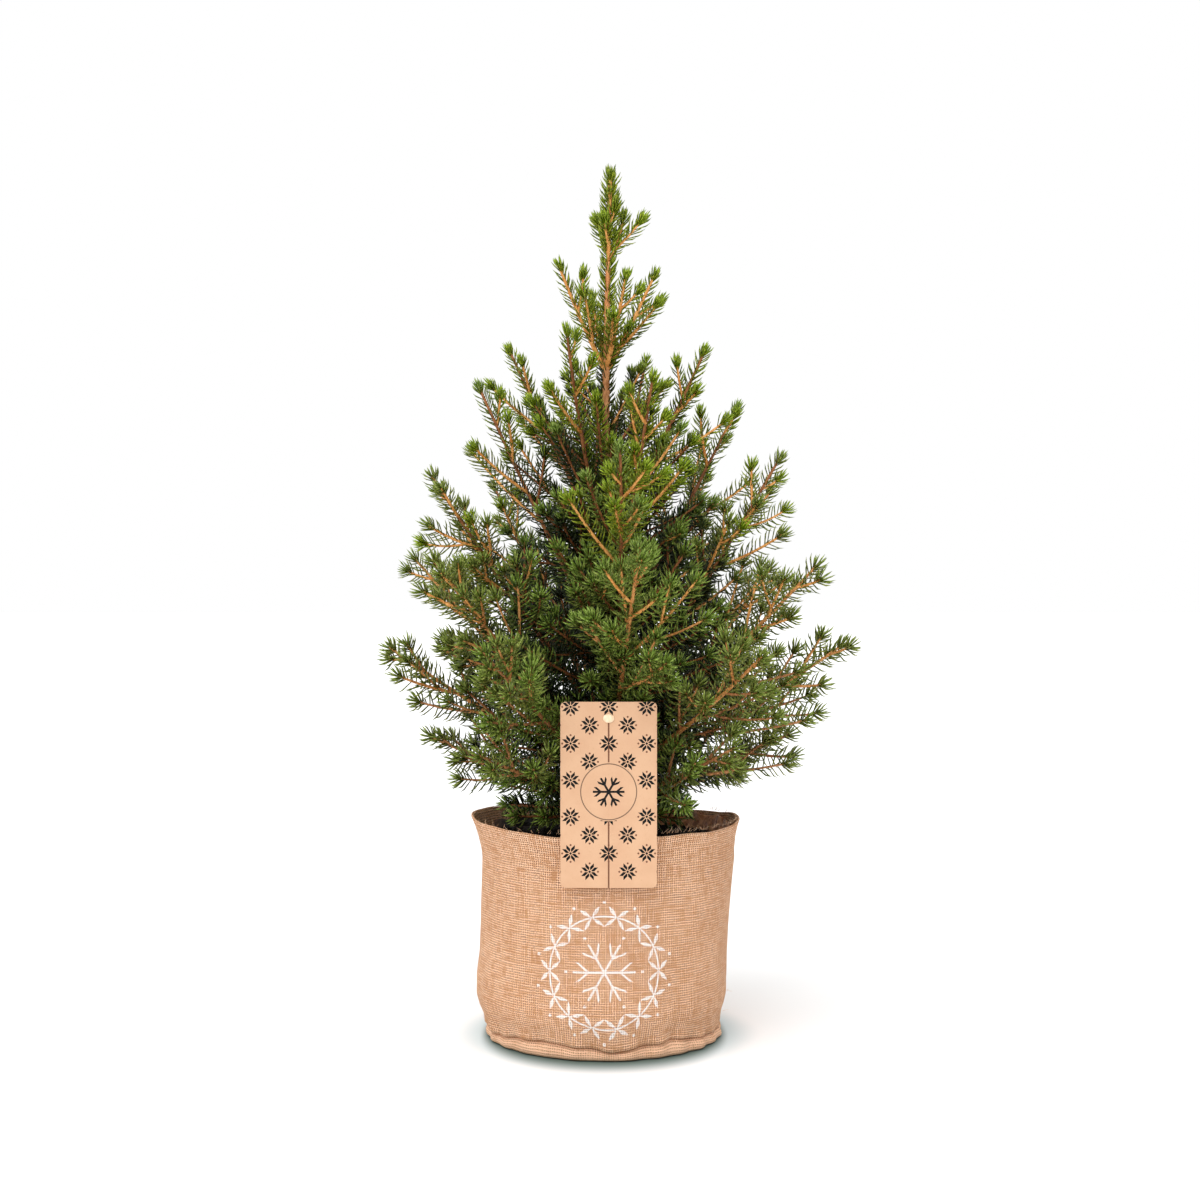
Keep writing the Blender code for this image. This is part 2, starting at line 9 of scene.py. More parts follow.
import bpy
import numpy as np
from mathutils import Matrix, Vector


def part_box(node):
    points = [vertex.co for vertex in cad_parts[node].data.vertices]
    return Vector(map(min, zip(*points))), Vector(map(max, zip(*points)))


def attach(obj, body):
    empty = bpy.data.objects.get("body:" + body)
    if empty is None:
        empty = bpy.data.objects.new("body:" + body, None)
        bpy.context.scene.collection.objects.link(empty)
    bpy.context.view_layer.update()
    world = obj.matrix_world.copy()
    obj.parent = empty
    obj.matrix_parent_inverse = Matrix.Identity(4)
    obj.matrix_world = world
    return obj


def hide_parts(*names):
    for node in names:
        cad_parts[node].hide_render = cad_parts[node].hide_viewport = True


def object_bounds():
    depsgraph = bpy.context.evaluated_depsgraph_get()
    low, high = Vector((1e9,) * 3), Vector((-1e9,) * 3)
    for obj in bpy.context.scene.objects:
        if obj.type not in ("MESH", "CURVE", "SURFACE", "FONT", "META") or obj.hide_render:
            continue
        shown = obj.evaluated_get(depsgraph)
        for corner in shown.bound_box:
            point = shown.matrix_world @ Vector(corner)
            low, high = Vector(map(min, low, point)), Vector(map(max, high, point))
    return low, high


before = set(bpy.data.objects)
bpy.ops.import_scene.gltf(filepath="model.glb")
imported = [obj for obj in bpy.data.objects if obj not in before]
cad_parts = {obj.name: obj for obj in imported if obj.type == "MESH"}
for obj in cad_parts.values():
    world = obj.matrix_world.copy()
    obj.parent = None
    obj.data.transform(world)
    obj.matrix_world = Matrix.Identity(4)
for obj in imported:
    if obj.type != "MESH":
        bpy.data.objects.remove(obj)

cad_low, cad_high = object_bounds()
NODES = sorted(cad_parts)
MASSES = [name for name in NODES if name.startswith("needles_")]
BOUGHS = [name for name in NODES if name.startswith("bough_")]
UP = np.array((0.0, 0.0, 1.0))
FULL_TURN = 2 * math.pi

# Camera: where the photograph was taken from, level along +Y
CAMERA_PLACE = (-0.0030, -1.3000, 0.3236)
CAMERA_LENS = 51.95

# Heights and limbs, as in the solids
SOIL_TOP = 0.1480
TRUNK_TOP = 0.5760
LEADER_END = 0.6400
TUFT = 0.0100
TRUNK_FOOT_RADIUS = 0.0060
TRUNK_TIP_RADIUS = 0.0018
ROOT_FLARE = 0.0038
FLARE_HEIGHT = 0.0080
SEED = 669
# Tier: number of boughs, first azimuth, height of foot and tip, reach, bare share
TIERS = (
    ("skirt", 5, 21.0, 0.172, 0.220, 0.150, 0.36),
    ("wide", 6, 3.0, 0.186, 0.292, 0.172, 0.36),
    ("waist", 6, 39.0, 0.201, 0.354, 0.166, 0.36),
    ("shoulder", 5, 57.0, 0.228, 0.419, 0.133, 0.0),
    ("neck", 4, 17.0, 0.284, 0.470, 0.102, 0.0),
    ("collar", 4, 68.0, 0.362, 0.512, 0.078, 0.0),
    ("crest", 4, 17.0, 0.496, 0.562, 0.036, 0.0),
)
WANDER_AZIMUTH = 5.0
WANDER_HEIGHT = 0.010
WANDER_REACH = 0.05
FOOT_STEP = 0.0016
SAG = 0.04
SWAY = 0.035
GOLDEN = math.radians(137.508)
TWIG_PITCH = 0.0140
TWIG_ANGLE = math.radians(40.0)
TWIG_LONG = 0.64
TWIG_SHORT = 0.36
TWIG_CAP = 0.085
TWIGS_FROM = 0.22
BOUGH_FOOT_RADIUS = 0.0022
BOUGH_END_RADIUS = 0.0018
STEM_TIP_RADIUS = 0.0010
TWIG_RADIUS = 0.0013
TWIG_TIP_RADIUS = 0.0008

# Finer twigs, and shoots that leave the trunk itself
FINE_PITCH = 0.0200
FINE_LONG = 0.80
FINE_SHORT = 0.52
FINE_CAP = 0.050
FINE_ANGLE = math.radians(33.0)
FINE_LIFT = 0.34
INNER_PITCH = 0.0075
INNER_CAP = 0.036
TWIG_CLEARANCE = 0.006
SHOOT_CLEARANCE = 0.005
TRUNK_SHOOTS_FROM = 0.1660
TRUNK_SHOOTS_TO = 0.6180
TRUNK_GAP = (0.520, 0.572)
FRONT_SHOOTS = 36
BACK_SHOOTS = 14
LOW_SHOOTS = (2.45, 2.80, 3.20, 3.60, 4.05, 5.30, 5.75, 6.15)
LOW_SHOOT_LENGTH = 0.078
LOW_SHOOT_LEAN = 88
ROWS = 12
STEM, TWIG, FINE_TWIG, INNER_TWIG = range(4)

# Needles
NEEDLE_LENGTH = 0.0118
NEEDLE_RADIUS = 0.00055
NEEDLE_PITCH = 0.00066
END_TUFT = 0.0045
BOX_SLACK = 0.0075
NEEDLE_POINTS = 7
# Reach of the crown by height
CROWN_HEIGHTS = (0.16, 0.20, 0.27, 0.35, 0.43, 0.50, 0.56, 0.65)
CROWN_REACH = (0.10, 0.145, 0.170, 0.150, 0.115, 0.08, 0.04, 0.015)

# Bag, soil and tag
RIM_TOP = 0.1603
BAG_RADIUS = 0.0932
SOIL_RADIUS = 0.0915
TAG_X = 0.0030
TAG_WIDTH = 0.0670
TAG_TOP = 0.2530
TAG_HOLE_Z = 0.2415
TAG_BACK = -0.0930
PRINT_HEIGHT = 0.0700
THREAD = 0.00172


# Curves

def unit(way):
    """Directions divided by their length."""
    if way.ndim == 1:
        return way / np.linalg.norm(way)
    return way / np.linalg.norm(way, axis=-1, keepdims=True)


def compass(azimuth):
    """Level direction at an azimuth: (cos, sin, 0)."""
    return np.array((math.cos(azimuth), math.sin(azimuth), 0.0))


def turns(count):
    """Even steps round an axis: 2 pi k / count."""
    return FULL_TURN * np.arange(count) / count


def lengths(points):
    """Length along a curve at each of its corners, and the steps between them."""
    steps = np.linalg.norm(np.diff(points, axis=0), axis=1)
    return np.concatenate(([0.0], np.cumsum(steps))), steps


def resample(points, stations):
    """Points at given lengths along a curve, straight between its corners."""
    along, _ = lengths(points)
    return np.stack([np.interp(stations, along, column) for column in points.T], axis=1)


def curve_length(points):
    """Sum of the steps from corner to corner."""
    return float(lengths(points)[1].sum())


def bend(start, middle, end, count=25):
    """Quadratic curve: (1-t)^2 start + 2t(1-t) middle + t^2 end."""
    t = np.linspace(0.0, 1.0, count)[:, None]
    return (1 - t) ** 2 * start + 2 * t * (1 - t) * middle + t ** 2 * end


def trunk_point(height):
    """Middle of the trunk at a height, with its slight double bend."""
    u = (height - SOIL_TOP) / (0.65 - SOIL_TOP)
    x = 0.003 + 0.0035 * math.sin(3.4 * u + 2.6) + 0.003 * u
    y = 0.003 * math.sin(4.2 * u)
    return np.array((x, y, height))


def trunk_radius(height):
    """Even taper plus a root flare that dies away upwards."""
    u = (height - SOIL_TOP) / (TRUNK_TOP - SOIL_TOP)
    flare = ROOT_FLARE * np.exp(-(height - SOIL_TOP) / FLARE_HEIGHT)
    return TRUNK_FOOT_RADIUS * (1 - u) + TRUNK_TIP_RADIUS * u + flare


def trunk_line(low, high, count):
    """Middle of the trunk at even heights from low to high."""
    return np.array([trunk_point(v) for v in np.linspace(low, high, count)])


def nearest(points, starts, ends=None):
    """Distance from each point to a curve, or to the nearest of many straight pieces."""
    if ends is None:
        starts, ends = starts[:-1], starts[1:]
    steps = ends - starts
    apart = points[:, None] - starts[None]
    t = np.clip((apart * steps).sum(2) / (steps * steps).sum(1), 0.0, 1.0)
    return np.sqrt(((apart - t[..., None] * steps) ** 2).sum(2)).min(1)


# Room that the growth leaves free

def tag_zone(points, margin):
    """True where points come too near the card tag or go out in front of it."""
    x, y, z = points.T
    wide = np.abs(x - TAG_X) < TAG_WIDTH / 2 + margin
    return wide & (y < TAG_BACK + margin) & (z < TAG_TOP + 0.006 + margin)


def bag_zone(points, margin):
    """True where points come too near the soil or the wall and rim of the bag."""
    x, y, z = points.T
    over_soil = (np.hypot(x, y) < 0.0925 - margin) & (z > SOIL_TOP + 0.004 + margin)
    return (z < RIM_TOP + margin) & ~over_soil


def over_rim(points):
    """True where low points hang over the rim on the left or hide the lining on the right."""
    x, y, z = points.T
    out = np.hypot(x, y)
    left = (z < 0.186) & (x < 0.0) & (out > 0.078)
    right = (z < 0.178) & (x > 0.03) & (out > 0.066)
    return (left | right) & (y < 0.03)


def clear_of_pot(points, margin):
    """True where points keep off the tag, the bag with its soil, and the open parts of the rim."""
    return ~(tag_zone(points, margin) | bag_zone(points, margin) | over_rim(points))


def pieces(limbs):
    """Starts and ends of the straight pieces of many limbs, two steps long."""
    return (np.concatenate([limb["curve"][:-1:2] for limb in limbs]),
            np.concatenate([limb["curve"][2::2] for limb in limbs]))


def cut_back(curve, owner, limbs, margin, least):
    """The part of a twig from its root that stays in its bough's own space, or None."""
    others = pieces([limb for i, limb in enumerate(limbs) if i != owner])
    good = nearest(curve, *others) - nearest(curve, limbs[owner]["curve"]) > margin
    good &= clear_of_pot(curve, TWIG_CLEARANCE)
    good[:2] = True
    short = curve[:len(curve) if good.all() else int(np.argmin(good))]
    return short if len(short) > 3 and curve_length(short) > least else None


def faces_front(twig, stem):
    """True where a twig leaves its stem mainly along Y, and so would hide it from the front."""
    ahead = unit(stem[-1] - stem[0])
    step = twig[-1] - twig[0]
    step = step - ahead * (step @ ahead)
    return abs(step[1]) > 0.72 * np.linalg.norm(step)


# Growth

def side_twigs(curve, share, dice, pitch=TWIG_PITCH, long=TWIG_LONG, short=TWIG_SHORT, cap=TWIG_CAP,
               spread=TWIG_ANGLE, lift=0.16):
    """Side twigs a golden angle apart, long and short by turns, shorter to the tip."""
    total = curve_length(curve)
    at = (share + 0.03) * total
    spin = dice.uniform(0.0, FULL_TURN)
    twigs = []
    while at < total - 0.016:
        number = len(twigs)
        start, beyond = resample(curve, [at, at + 0.001])
        ahead = unit(beyond - start)
        across = unit(np.cross(ahead, UP))
        over = np.cross(across, ahead)
        angle = spin + number * GOLDEN
        out = unit(across * math.cos(angle) + over * math.sin(angle) * 0.7)
        ratio = short if number % 2 else long
        size = min((0.010 + ratio * (total - at)) * dice.uniform(0.85, 1.1), cap)
        first = ahead * math.cos(spread) + out * math.sin(spread)
        second = unit(first + ahead * 0.35 + lift * UP)
        middle = start + first * size * 0.5
        twigs.append(bend(start, middle, middle + second * size * 0.5, 11))
        at += pitch * dice.uniform(0.85, 1.15)
    return twigs


def grow():
    """All boughs from the tier table, each with its side twigs, as in the solids."""
    dice = random.Random(SEED)
    limbs = []
    for name, count, first, foot, tip, reach, share in TIERS:
        for k in range(count):
            azimuth = math.radians(first + 360.0 * k / count + dice.uniform(-1, 1) * WANDER_AZIMUTH)
            high = tip + dice.uniform(-1, 1) * WANDER_HEIGHT
            wide = reach * (1 + dice.uniform(-1, 1) * WANDER_REACH)
            start = trunk_point(foot + FOOT_STEP * (1 if k % 2 else -1))
            end = trunk_point(high) + wide * compass(azimuth)
            span = np.linalg.norm(end - start)
            middle = (start + end) / 2 - SAG * span * UP
            middle += np.cross(UP, compass(azimuth)) * dice.uniform(-1, 1) * SWAY * span
            curve = bend(start, middle, end)
            limbs.append({"name": name, "curve": curve, "share": share,
                          "twigs": side_twigs(curve, share if share else TWIGS_FROM, dice)})
    start = trunk_point(TRUNK_TOP)
    end = trunk_point(LEADER_END)
    curve = bend(start, (start + end) / 2, end, 13)
    twigs = []
    for k in range(3):
        out = compass(math.radians(15.0 + 120.0 * k))
        root = resample(curve, [0.003 + 0.004 * k])[0]
        tip = root + out * 0.012 + (0.034 - 0.006 * k) * UP
        twigs.append(bend(root, root + out * 0.010 + 0.014 * UP, tip, 11))
    limbs.append({"name": "leader", "curve": curve, "share": 0.0, "twigs": twigs})
    return limbs


def shoot(curve, foot, tip, bare, order, pitch=1.0):
    """One shoot: its line at even stations, end radii, bare length, needle pitch and order."""
    return resample(curve, np.linspace(0.0, curve_length(curve), ROWS)), foot, tip, bare, pitch, order


def bough_shoots(limbs):
    """Stems, side twigs and finer twigs of every bough, cut back to their own space."""
    made = []
    for owner, limb in enumerate(limbs):
        dice = random.Random(SEED * 10 + owner)
        curve = limb["curve"]
        total = curve_length(curve)
        leader = limb["name"] == "leader"
        wood = total if leader else total - (TUFT * 0.4 if limb["share"] else -0.002)
        step = curve[-1] - curve[-2]
        curve = np.concatenate((curve, [curve[-1] + step * 0.004 / np.linalg.norm(step)]))
        stem = resample(curve, np.linspace(0.0, wood, 25))
        if limb["share"] > 0:
            split = limb["share"] * total
            upper = resample(curve, np.linspace(split - 0.0008, wood, 25))
            made.append(shoot(upper, BOUGH_END_RADIUS, STEM_TIP_RADIUS, 0.0, STEM))
            limb["lower"] = resample(curve, np.linspace(0.0, split, 13))
            for twig in side_twigs(limb["lower"], TWIGS_FROM, dice, INNER_PITCH, 0.5, 0.4, INNER_CAP):
                short = cut_back(twig, owner, limbs, 0.0, 0.008)
                if short is not None:
                    made.append(shoot(short, 0.0008, 0.0006, 0.002, INNER_TWIG, 1.1))
        elif leader:
            made.append(shoot(stem, TRUNK_TIP_RADIUS, 0.0013, 0.0, STEM, 0.42))
        else:
            made.append(shoot(stem, 0.0021, STEM_TIP_RADIUS, 0.016 * (total > 0.1), STEM))
        slender = limb["name"] in ("neck", "collar", "crest")
        dropped = 0.95 if curve[0, 2] > 0.35 else 0.55
        for number, twig in enumerate(limb["twigs"]):
            short = cut_back(twig, owner, limbs, -0.010, 0.012)
            if short is None or (slender and number % 2 and dice.random() < dropped):
                continue
            length = curve_length(short)
            line = resample(short, np.linspace(0.0, length - TUFT * 0.35, 11))
            made.append(shoot(line, TWIG_RADIUS if length > 0.03 else 0.0010, TWIG_TIP_RADIUS, 0.003, TWIG))
            if length < 0.034 or slender:
                continue
            for fine in side_twigs(line, TWIGS_FROM, dice, FINE_PITCH, FINE_LONG, FINE_SHORT, FINE_CAP,
                                   FINE_ANGLE, FINE_LIFT):
                kept = cut_back(fine, owner, limbs, -0.010, 0.012)
                if kept is not None and not faces_front(fine, line):
                    made.append(shoot(kept, 0.0010, 0.0007, 0.002, FINE_TWIG))
    return made


def trunk_roots(dice):
    """Root, azimuth and set of each shoot that leaves the trunk itself.

    A golden-angle spiral goes all the way up. A set towards the front, one towards the
    back and a low one just above the soil fill the crown between the boughs.
    """
    trunk = trunk_line(TRUNK_SHOOTS_FROM, TRUNK_SHOOTS_TO, 50)
    total = curve_length(trunk)
    roots = []
    at = 0.004
    number = 0
    while at < total:
        root = resample(trunk, [at])[0]
        height = root[2]
        azimuth = number * GOLDEN + 0.7
        if not (0.40 < height < TRUNK_GAP[1] and math.sin(azimuth) < -0.55):
            roots.append((root, azimuth, "spiral"))
        number += 1
        pitch = 0.0044 if height < 0.31 else 0.0062 if height < 0.44 else 0.0105
        at += pitch * dice.uniform(0.88, 1.12)
    for k in range(FRONT_SHOOTS):
        turn = 2 * ((k * 0.618) % 1.0) - 1
        height = 0.212 + 0.190 * ((k + 0.5) / FRONT_SHOOTS) ** 1.2
        roots.append((trunk_point(height), (4.45 if k % 3 else 5.62) + 0.60 * turn, "front"))
    for k in range(BACK_SHOOTS):
        turn = 2 * ((k * 0.618) % 1.0) - 1
        height = 0.250 + 0.160 * (k + 0.5) / BACK_SHOOTS
        roots.append((trunk_point(height), math.pi / 2 + 1.1 * turn, "back"))
    for k, azimuth in enumerate(LOW_SHOOTS):
        roots.append((trunk_point(TRUNK_SHOOTS_FROM + 0.0024 * (k % 3)), azimuth, "low"))
    return roots


def trunk_shoots(limbs):
    """Shoots straight from the trunk: long and level below, short and steep higher up."""
    made = []
    boughs = pieces(limbs[:-1])
    dice = random.Random(SEED * 7)
    for root, azimuth, kind in trunk_roots(dice):
        height = root[2]
        spiral = kind == "spiral"
        out = compass(azimuth)
        size = min(0.72 * (0.6040 - height), np.interp(height, (0.17, 0.22, 0.34), (0.132, 0.115, 0.088)))
        size = max(size * dice.uniform(0.80, 1.08), 0.016)
        size *= np.interp(height, (0.42, 0.46, 0.51, 0.57), (1.0, 0.52, 0.52, 1.0))
        size *= 1.0 + np.interp(height, (0.19, 0.22), (1.0, 0.0)) * 0.18 * math.cos(azimuth)
        lean = np.interp(height, (0.17, 0.20, 0.27, 0.40, 0.46, 0.60), (84, 78, 66, 40, 28, 28))
        lean += dice.uniform(-1, 1) * np.interp(height, (0.19, 0.24, 0.36, 0.42), (5, 13, 11, 5))
        lean = min(lean, 86)
        if kind == "low":
            size = LOW_SHOOT_LENGTH
            lean = LOW_SHOOT_LEAN
        lean = math.radians(lean)
        middle = root + (out * math.sin(lean * 1.12) + UP * math.cos(lean * 1.12)) * size * 0.45
        tip = middle + (out * math.sin(lean * 0.95) + UP * math.cos(lean * 0.95)) * size * 0.55
        twig = bend(root, middle, tip, 16)
        free = clear_of_pot(twig, SHOOT_CLEARANCE)
        twig = twig if free.all() else twig[:int(np.argmin(free))]
        if len(twig) < 6 or TRUNK_GAP[0] < height < TRUNK_GAP[1]:
            continue
        if nearest(twig[5:], *boughs).min() <= (0.0014 if height > 0.3 and spiral else 0.0003):
            continue
        size = curve_length(twig)
        strong = size > 0.03
        made.append(shoot(twig, 0.0012 if strong else 0.0009, 0.0008, 0.003, TWIG if strong else FINE_TWIG))
        if size <= 0.045 or height >= 0.46 or not spiral:
            continue
        for fine in side_twigs(twig, 0.30, dice, FINE_PITCH * 1.1, 0.6, 0.45, 0.040, FINE_ANGLE, 0.2):
            blocked = (tag_zone(fine, SHOOT_CLEARANCE) | bag_zone(fine, SHOOT_CLEARANCE)).any()
            if not blocked and not faces_front(fine, twig):
                made.append(shoot(fine, 0.0009, 0.0007, 0.002, FINE_TWIG))
    return made


# Meshes

def along_frames(lines):
    """Frames along many curves: tangent, side and over at every row.

    The side is a direction square to the chord, less its part along the tangent,
    scaled to 1. Over is tangent x side.
    """
    tangents = unit(np.gradient(lines, axis=1))
    chord = unit(lines[:, -1] - lines[:, 0])
    flat = np.cross(chord, UP)
    spare = np.cross(chord, np.array((0.0, 1.0, 0.0)))
    upright = np.linalg.norm(flat, axis=1, keepdims=True) < 0.2
    side = np.where(upright, spare, flat)[:, None, :]
    side = unit(side - tangents * (side * tangents).sum(2, keepdims=True))
    return tangents, side, np.cross(tangents, side)


def placed(name, data):
    """An object of the scene that holds a mesh, a light or a camera."""
    made = bpy.data.objects.new(name, data)
    bpy.context.scene.collection.objects.link(made)
    return made


def mesh_piece(name, verts, faces, finish, slot, nodes=(), smooth=True, corner_uv=None):
    """Mesh object from an array of points and arrays of faces of equal size."""
    mesh = bpy.data.meshes.new(name)
    mesh.vertices.add(len(verts))
    mesh.vertices.foreach_set("co", np.ascontiguousarray(verts, np.float32).ravel())
    flat = np.concatenate([f.ravel() for f in faces])
    sizes = np.concatenate([np.full(len(f), f.shape[1]) for f in faces])
    mesh.loops.add(len(flat))
    mesh.loops.foreach_set("vertex_index", flat.astype(np.int32))
    mesh.polygons.add(len(sizes))
    mesh.polygons.foreach_set("loop_start", np.concatenate(([0], np.cumsum(sizes)[:-1])).astype(np.int32))
    mesh.polygons.foreach_set("use_smooth", np.full(len(sizes), smooth))
    if corner_uv is not None:
        layer = mesh.uv_layers.new(name="cloth")
        layer.data.foreach_set("uv", np.ascontiguousarray(corner_uv, np.float32).ravel())
    mesh.update(calc_edges=True)
    mesh.validate()
    mesh.materials.append(finish)
    made = placed(name, mesh)
    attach(made, "root")
    if nodes:
        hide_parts(*nodes)


def repeated(faces, count, points):
    """Faces of many equal bodies: those of the first, moved on by its points each time."""
    step = (np.arange(count) * points)[:, None, None]
    return (np.asarray(faces)[None] + step).reshape(-1, np.shape(faces)[1])


def ring_quads(rows, sides, closed=False):
    """Quads between rings of points. Where closed, the last ring meets the first."""
    i, j = np.meshgrid(np.arange(rows if closed else rows - 1), np.arange(sides), indexing="ij")
    k = (j + 1) % sides
    a = i * sides
    b = (i + 1) % rows * sides
    return np.stack((a + j, a + k, b + k, b + j), axis=-1).reshape(-1, 4)


def tube_faces(count, rows, sides):
    """Faces of many equal tubes: quads between rings, and a fan to the pole at each end."""
    j = np.arange(sides)
    k = (j + 1) % sides
    last = (rows - 1) * sides
    foot = np.stack((k, j, np.full(sides, rows * sides)), axis=1)
    head = np.stack((last + j, last + k, np.full(sides, rows * sides + 1)), axis=1)
    points = rows * sides + 2
    return [repeated(ring_quads(rows, sides), count, points),
            repeated(np.concatenate((foot, head)), count, points)]


def spokes(side, over, sides):
    """Directions round a centre line: cos a * side + sin a * over."""
    a = turns(sides)
    return np.cos(a)[:, None] * side[..., None, :] + np.sin(a)[:, None] * over[..., None, :]


def tubes(lines, foot, tip, sides, relief=0.0):
    """Closed tapering limbs along many curves at once.

    Point = middle + radius * spoke, where the radius runs evenly from foot to tip and
    swells by relief times two crossing waves. A pole closes each end.
    """
    count, rows = lines.shape[:2]
    tangents, side, over = along_frames(lines)
    u = np.linspace(0.0, 1.0, rows)
    radius = foot[:, None] * (1 - u) + tip[:, None] * u
    a = turns(sides)
    steps = np.arange(rows)[None, :, None]
    turn = np.arange(count)[:, None, None] * 1.7
    wave = np.cos(3 * a + 2.4 * steps + turn) * 0.6 + np.cos(2 * a - 1.9 * steps + 2 * turn) * 0.4
    swollen = radius[:, :, None] * (1 + relief * wave)
    rings = lines[:, :, None] + swollen[..., None] * spokes(side, over, sides)
    low = lines[:, 0] - tangents[:, 0] * (foot * 0.3)[:, None]
    high = lines[:, -1] + tangents[:, -1] * (tip * 1.6)[:, None]
    verts = np.concatenate((rings.reshape(count, rows * sides, 3), low[:, None], high[:, None]), axis=1)
    return verts.reshape(-1, 3), tube_faces(count, rows, sides)


# Columns of a needle's seat: point, tangent, side and over take the first twelve
ANGLE, RADIUS, TO_TIP, FROM_FOOT, SPRAY = range(12, 17)


def needle_seats(lines, foot, tip, bare, pitch, dice):
    """Where needles sit: a pitch apart along each shoot, a golden angle apart round it.

    A tuft at the end is seated closer. Each row holds point, tangent, side, over, angle,
    radius, distance to the tip, distance from the foot and the shoot's number.
    """
    tables = (lines, *along_frames(lines))
    steps = np.linalg.norm(np.diff(lines, axis=1), axis=2)
    along = np.concatenate((np.zeros((len(lines), 1)), np.cumsum(steps, axis=1)), axis=1)
    found = []
    for n in range(len(lines)):
        total = along[n, -1]
        if total - bare[n] < 0.002:
            continue
        count = int((total - bare[n]) / (NEEDLE_PITCH * pitch[n])) + 1
        s = np.linspace(bare[n], total, count) + dice.uniform(-0.2, 0.2, count) * NEEDLE_PITCH
        close = max(total - END_TUFT, bare[n])
        more = np.linspace(close, total, int((total - close) / (NEEDLE_PITCH * 0.5)) + 2)
        s = np.clip(np.concatenate((s, more)), 0.0, total)
        s.sort()
        row = [np.interp(s, along[n], table[n, :, c]) for table in tables for c in range(3)]
        angle = dice.uniform(0, FULL_TURN) + np.arange(len(s)) * GOLDEN + dice.uniform(-0.25, 0.25, len(s))
        radius = np.interp(s, (0.0, total), (foot[n], tip[n]))
        found.append(np.column_stack((*row, angle, radius, total - s, s, np.full(len(s), n))))
    return np.concatenate(found)


def needle_lines(seats, dice):
    """Base, middle and apex of each needle.

    A needle leaves its twig at an angle that closes towards the tip: from 64 degrees to 24
    low on the plant, from 48 to 10 high up. It rises a little and bends forward past its middle.
    """
    point, ahead, side, over = seats[:, 0:3], seats[:, 3:6], seats[:, 6:9], seats[:, 9:12]
    angle, radius = seats[:, ANGLE, None], seats[:, RADIUS, None]
    to_tip, from_foot, height = seats[:, TO_TIP], seats[:, FROM_FOOT], seats[:, 2]
    count = len(seats)
    out = np.cos(angle) * side + np.sin(angle) * over
    near_tip = (0.0, 0.0012, 0.003, 0.008, 0.018, 0.04)
    closed = np.interp(to_tip, near_tip, (10, 19, 29, 39, 45, 48))
    lean = np.interp(to_tip, near_tip, (24, 40, 52, 60, 64, 64))
    lean += (closed - lean) * np.interp(height, (0.32, 0.48), (0.0, 1.0))
    lean = lean + dice.uniform(-1, 1, count) * np.interp(to_tip, (0.0, 0.008), (12, 8))
    lean = np.radians(lean)[:, None]
    first = unit(out * np.sin(lean) + ahead * np.cos(lean) + UP * 0.10)
    curl = dice.uniform(0.25, 0.78, (count, 1))
    second = unit(first + ahead * curl + UP * 0.10)
    long = NEEDLE_LENGTH * dice.uniform(0.80, 1.12, count)
    long *= np.interp(from_foot, (0.0, 0.012), (0.70, 1.0)) * np.interp(to_tip, (0.0, 0.012), (0.86, 1.0))
    long *= np.interp(height, (0.24, 0.36, 0.40, 0.50, 0.575, 0.600), (1.14, 1.06, 1.0, 0.92, 0.94, 1.08))
    base = point + out * radius * 0.6
    middle = base + first * long[:, None] * 0.66
    return base, middle, middle + second * long[:, None] * 0.34


def needle_mesh(base, middle, apex, thick):
    """Closed needles of seven points: a three-sided ring at base and middle, and the apex.

    Ring point = centre + thickness * spoke.
    """
    ahead = unit(apex - base)
    side = unit(np.cross(ahead, np.array((0.3, 0.5, 0.81))))
    ring = spokes(side, np.cross(ahead, side), 3)
    thick = thick[:, None, None]
    verts = np.concatenate((base[:, None] + ring * thick * 0.8, middle[:, None] + ring * thick,
                            apex[:, None]), axis=1).reshape(-1, 3)
    quads = ((0, 1, 4, 3), (1, 2, 5, 4), (2, 0, 3, 5))
    fans = ((2, 1, 0), (3, 4, 6), (4, 5, 6), (5, 3, 6))
    return verts, [repeated(faces, len(base), NEEDLE_POINTS) for faces in (quads, fans)]


# Finishes

def operator(operation, reflected=False):
    """A Python operator that adds one Math node."""
    def forward(self, other):
        return self.finish.sum(operation, self, other)

    def backward(self, other):
        return self.finish.sum(operation, other, self)

    return backward if reflected else forward


class Wire:
    """A socket of a finish, for sums in plain Python."""

    def __init__(self, finish, socket):
        self.finish = finish
        self.socket = socket

    def __abs__(self):
        return self.finish.sum("ABSOLUTE", self)

    __add__ = operator("ADD")
    __radd__ = operator("ADD", True)
    __sub__ = operator("SUBTRACT")
    __rsub__ = operator("SUBTRACT", True)
    __mul__ = operator("MULTIPLY")
    __rmul__ = operator("MULTIPLY", True)
    __truediv__ = operator("DIVIDE")
    __rtruediv__ = operator("DIVIDE", True)
    __lt__ = operator("LESS_THAN")
    __gt__ = operator("GREATER_THAN")


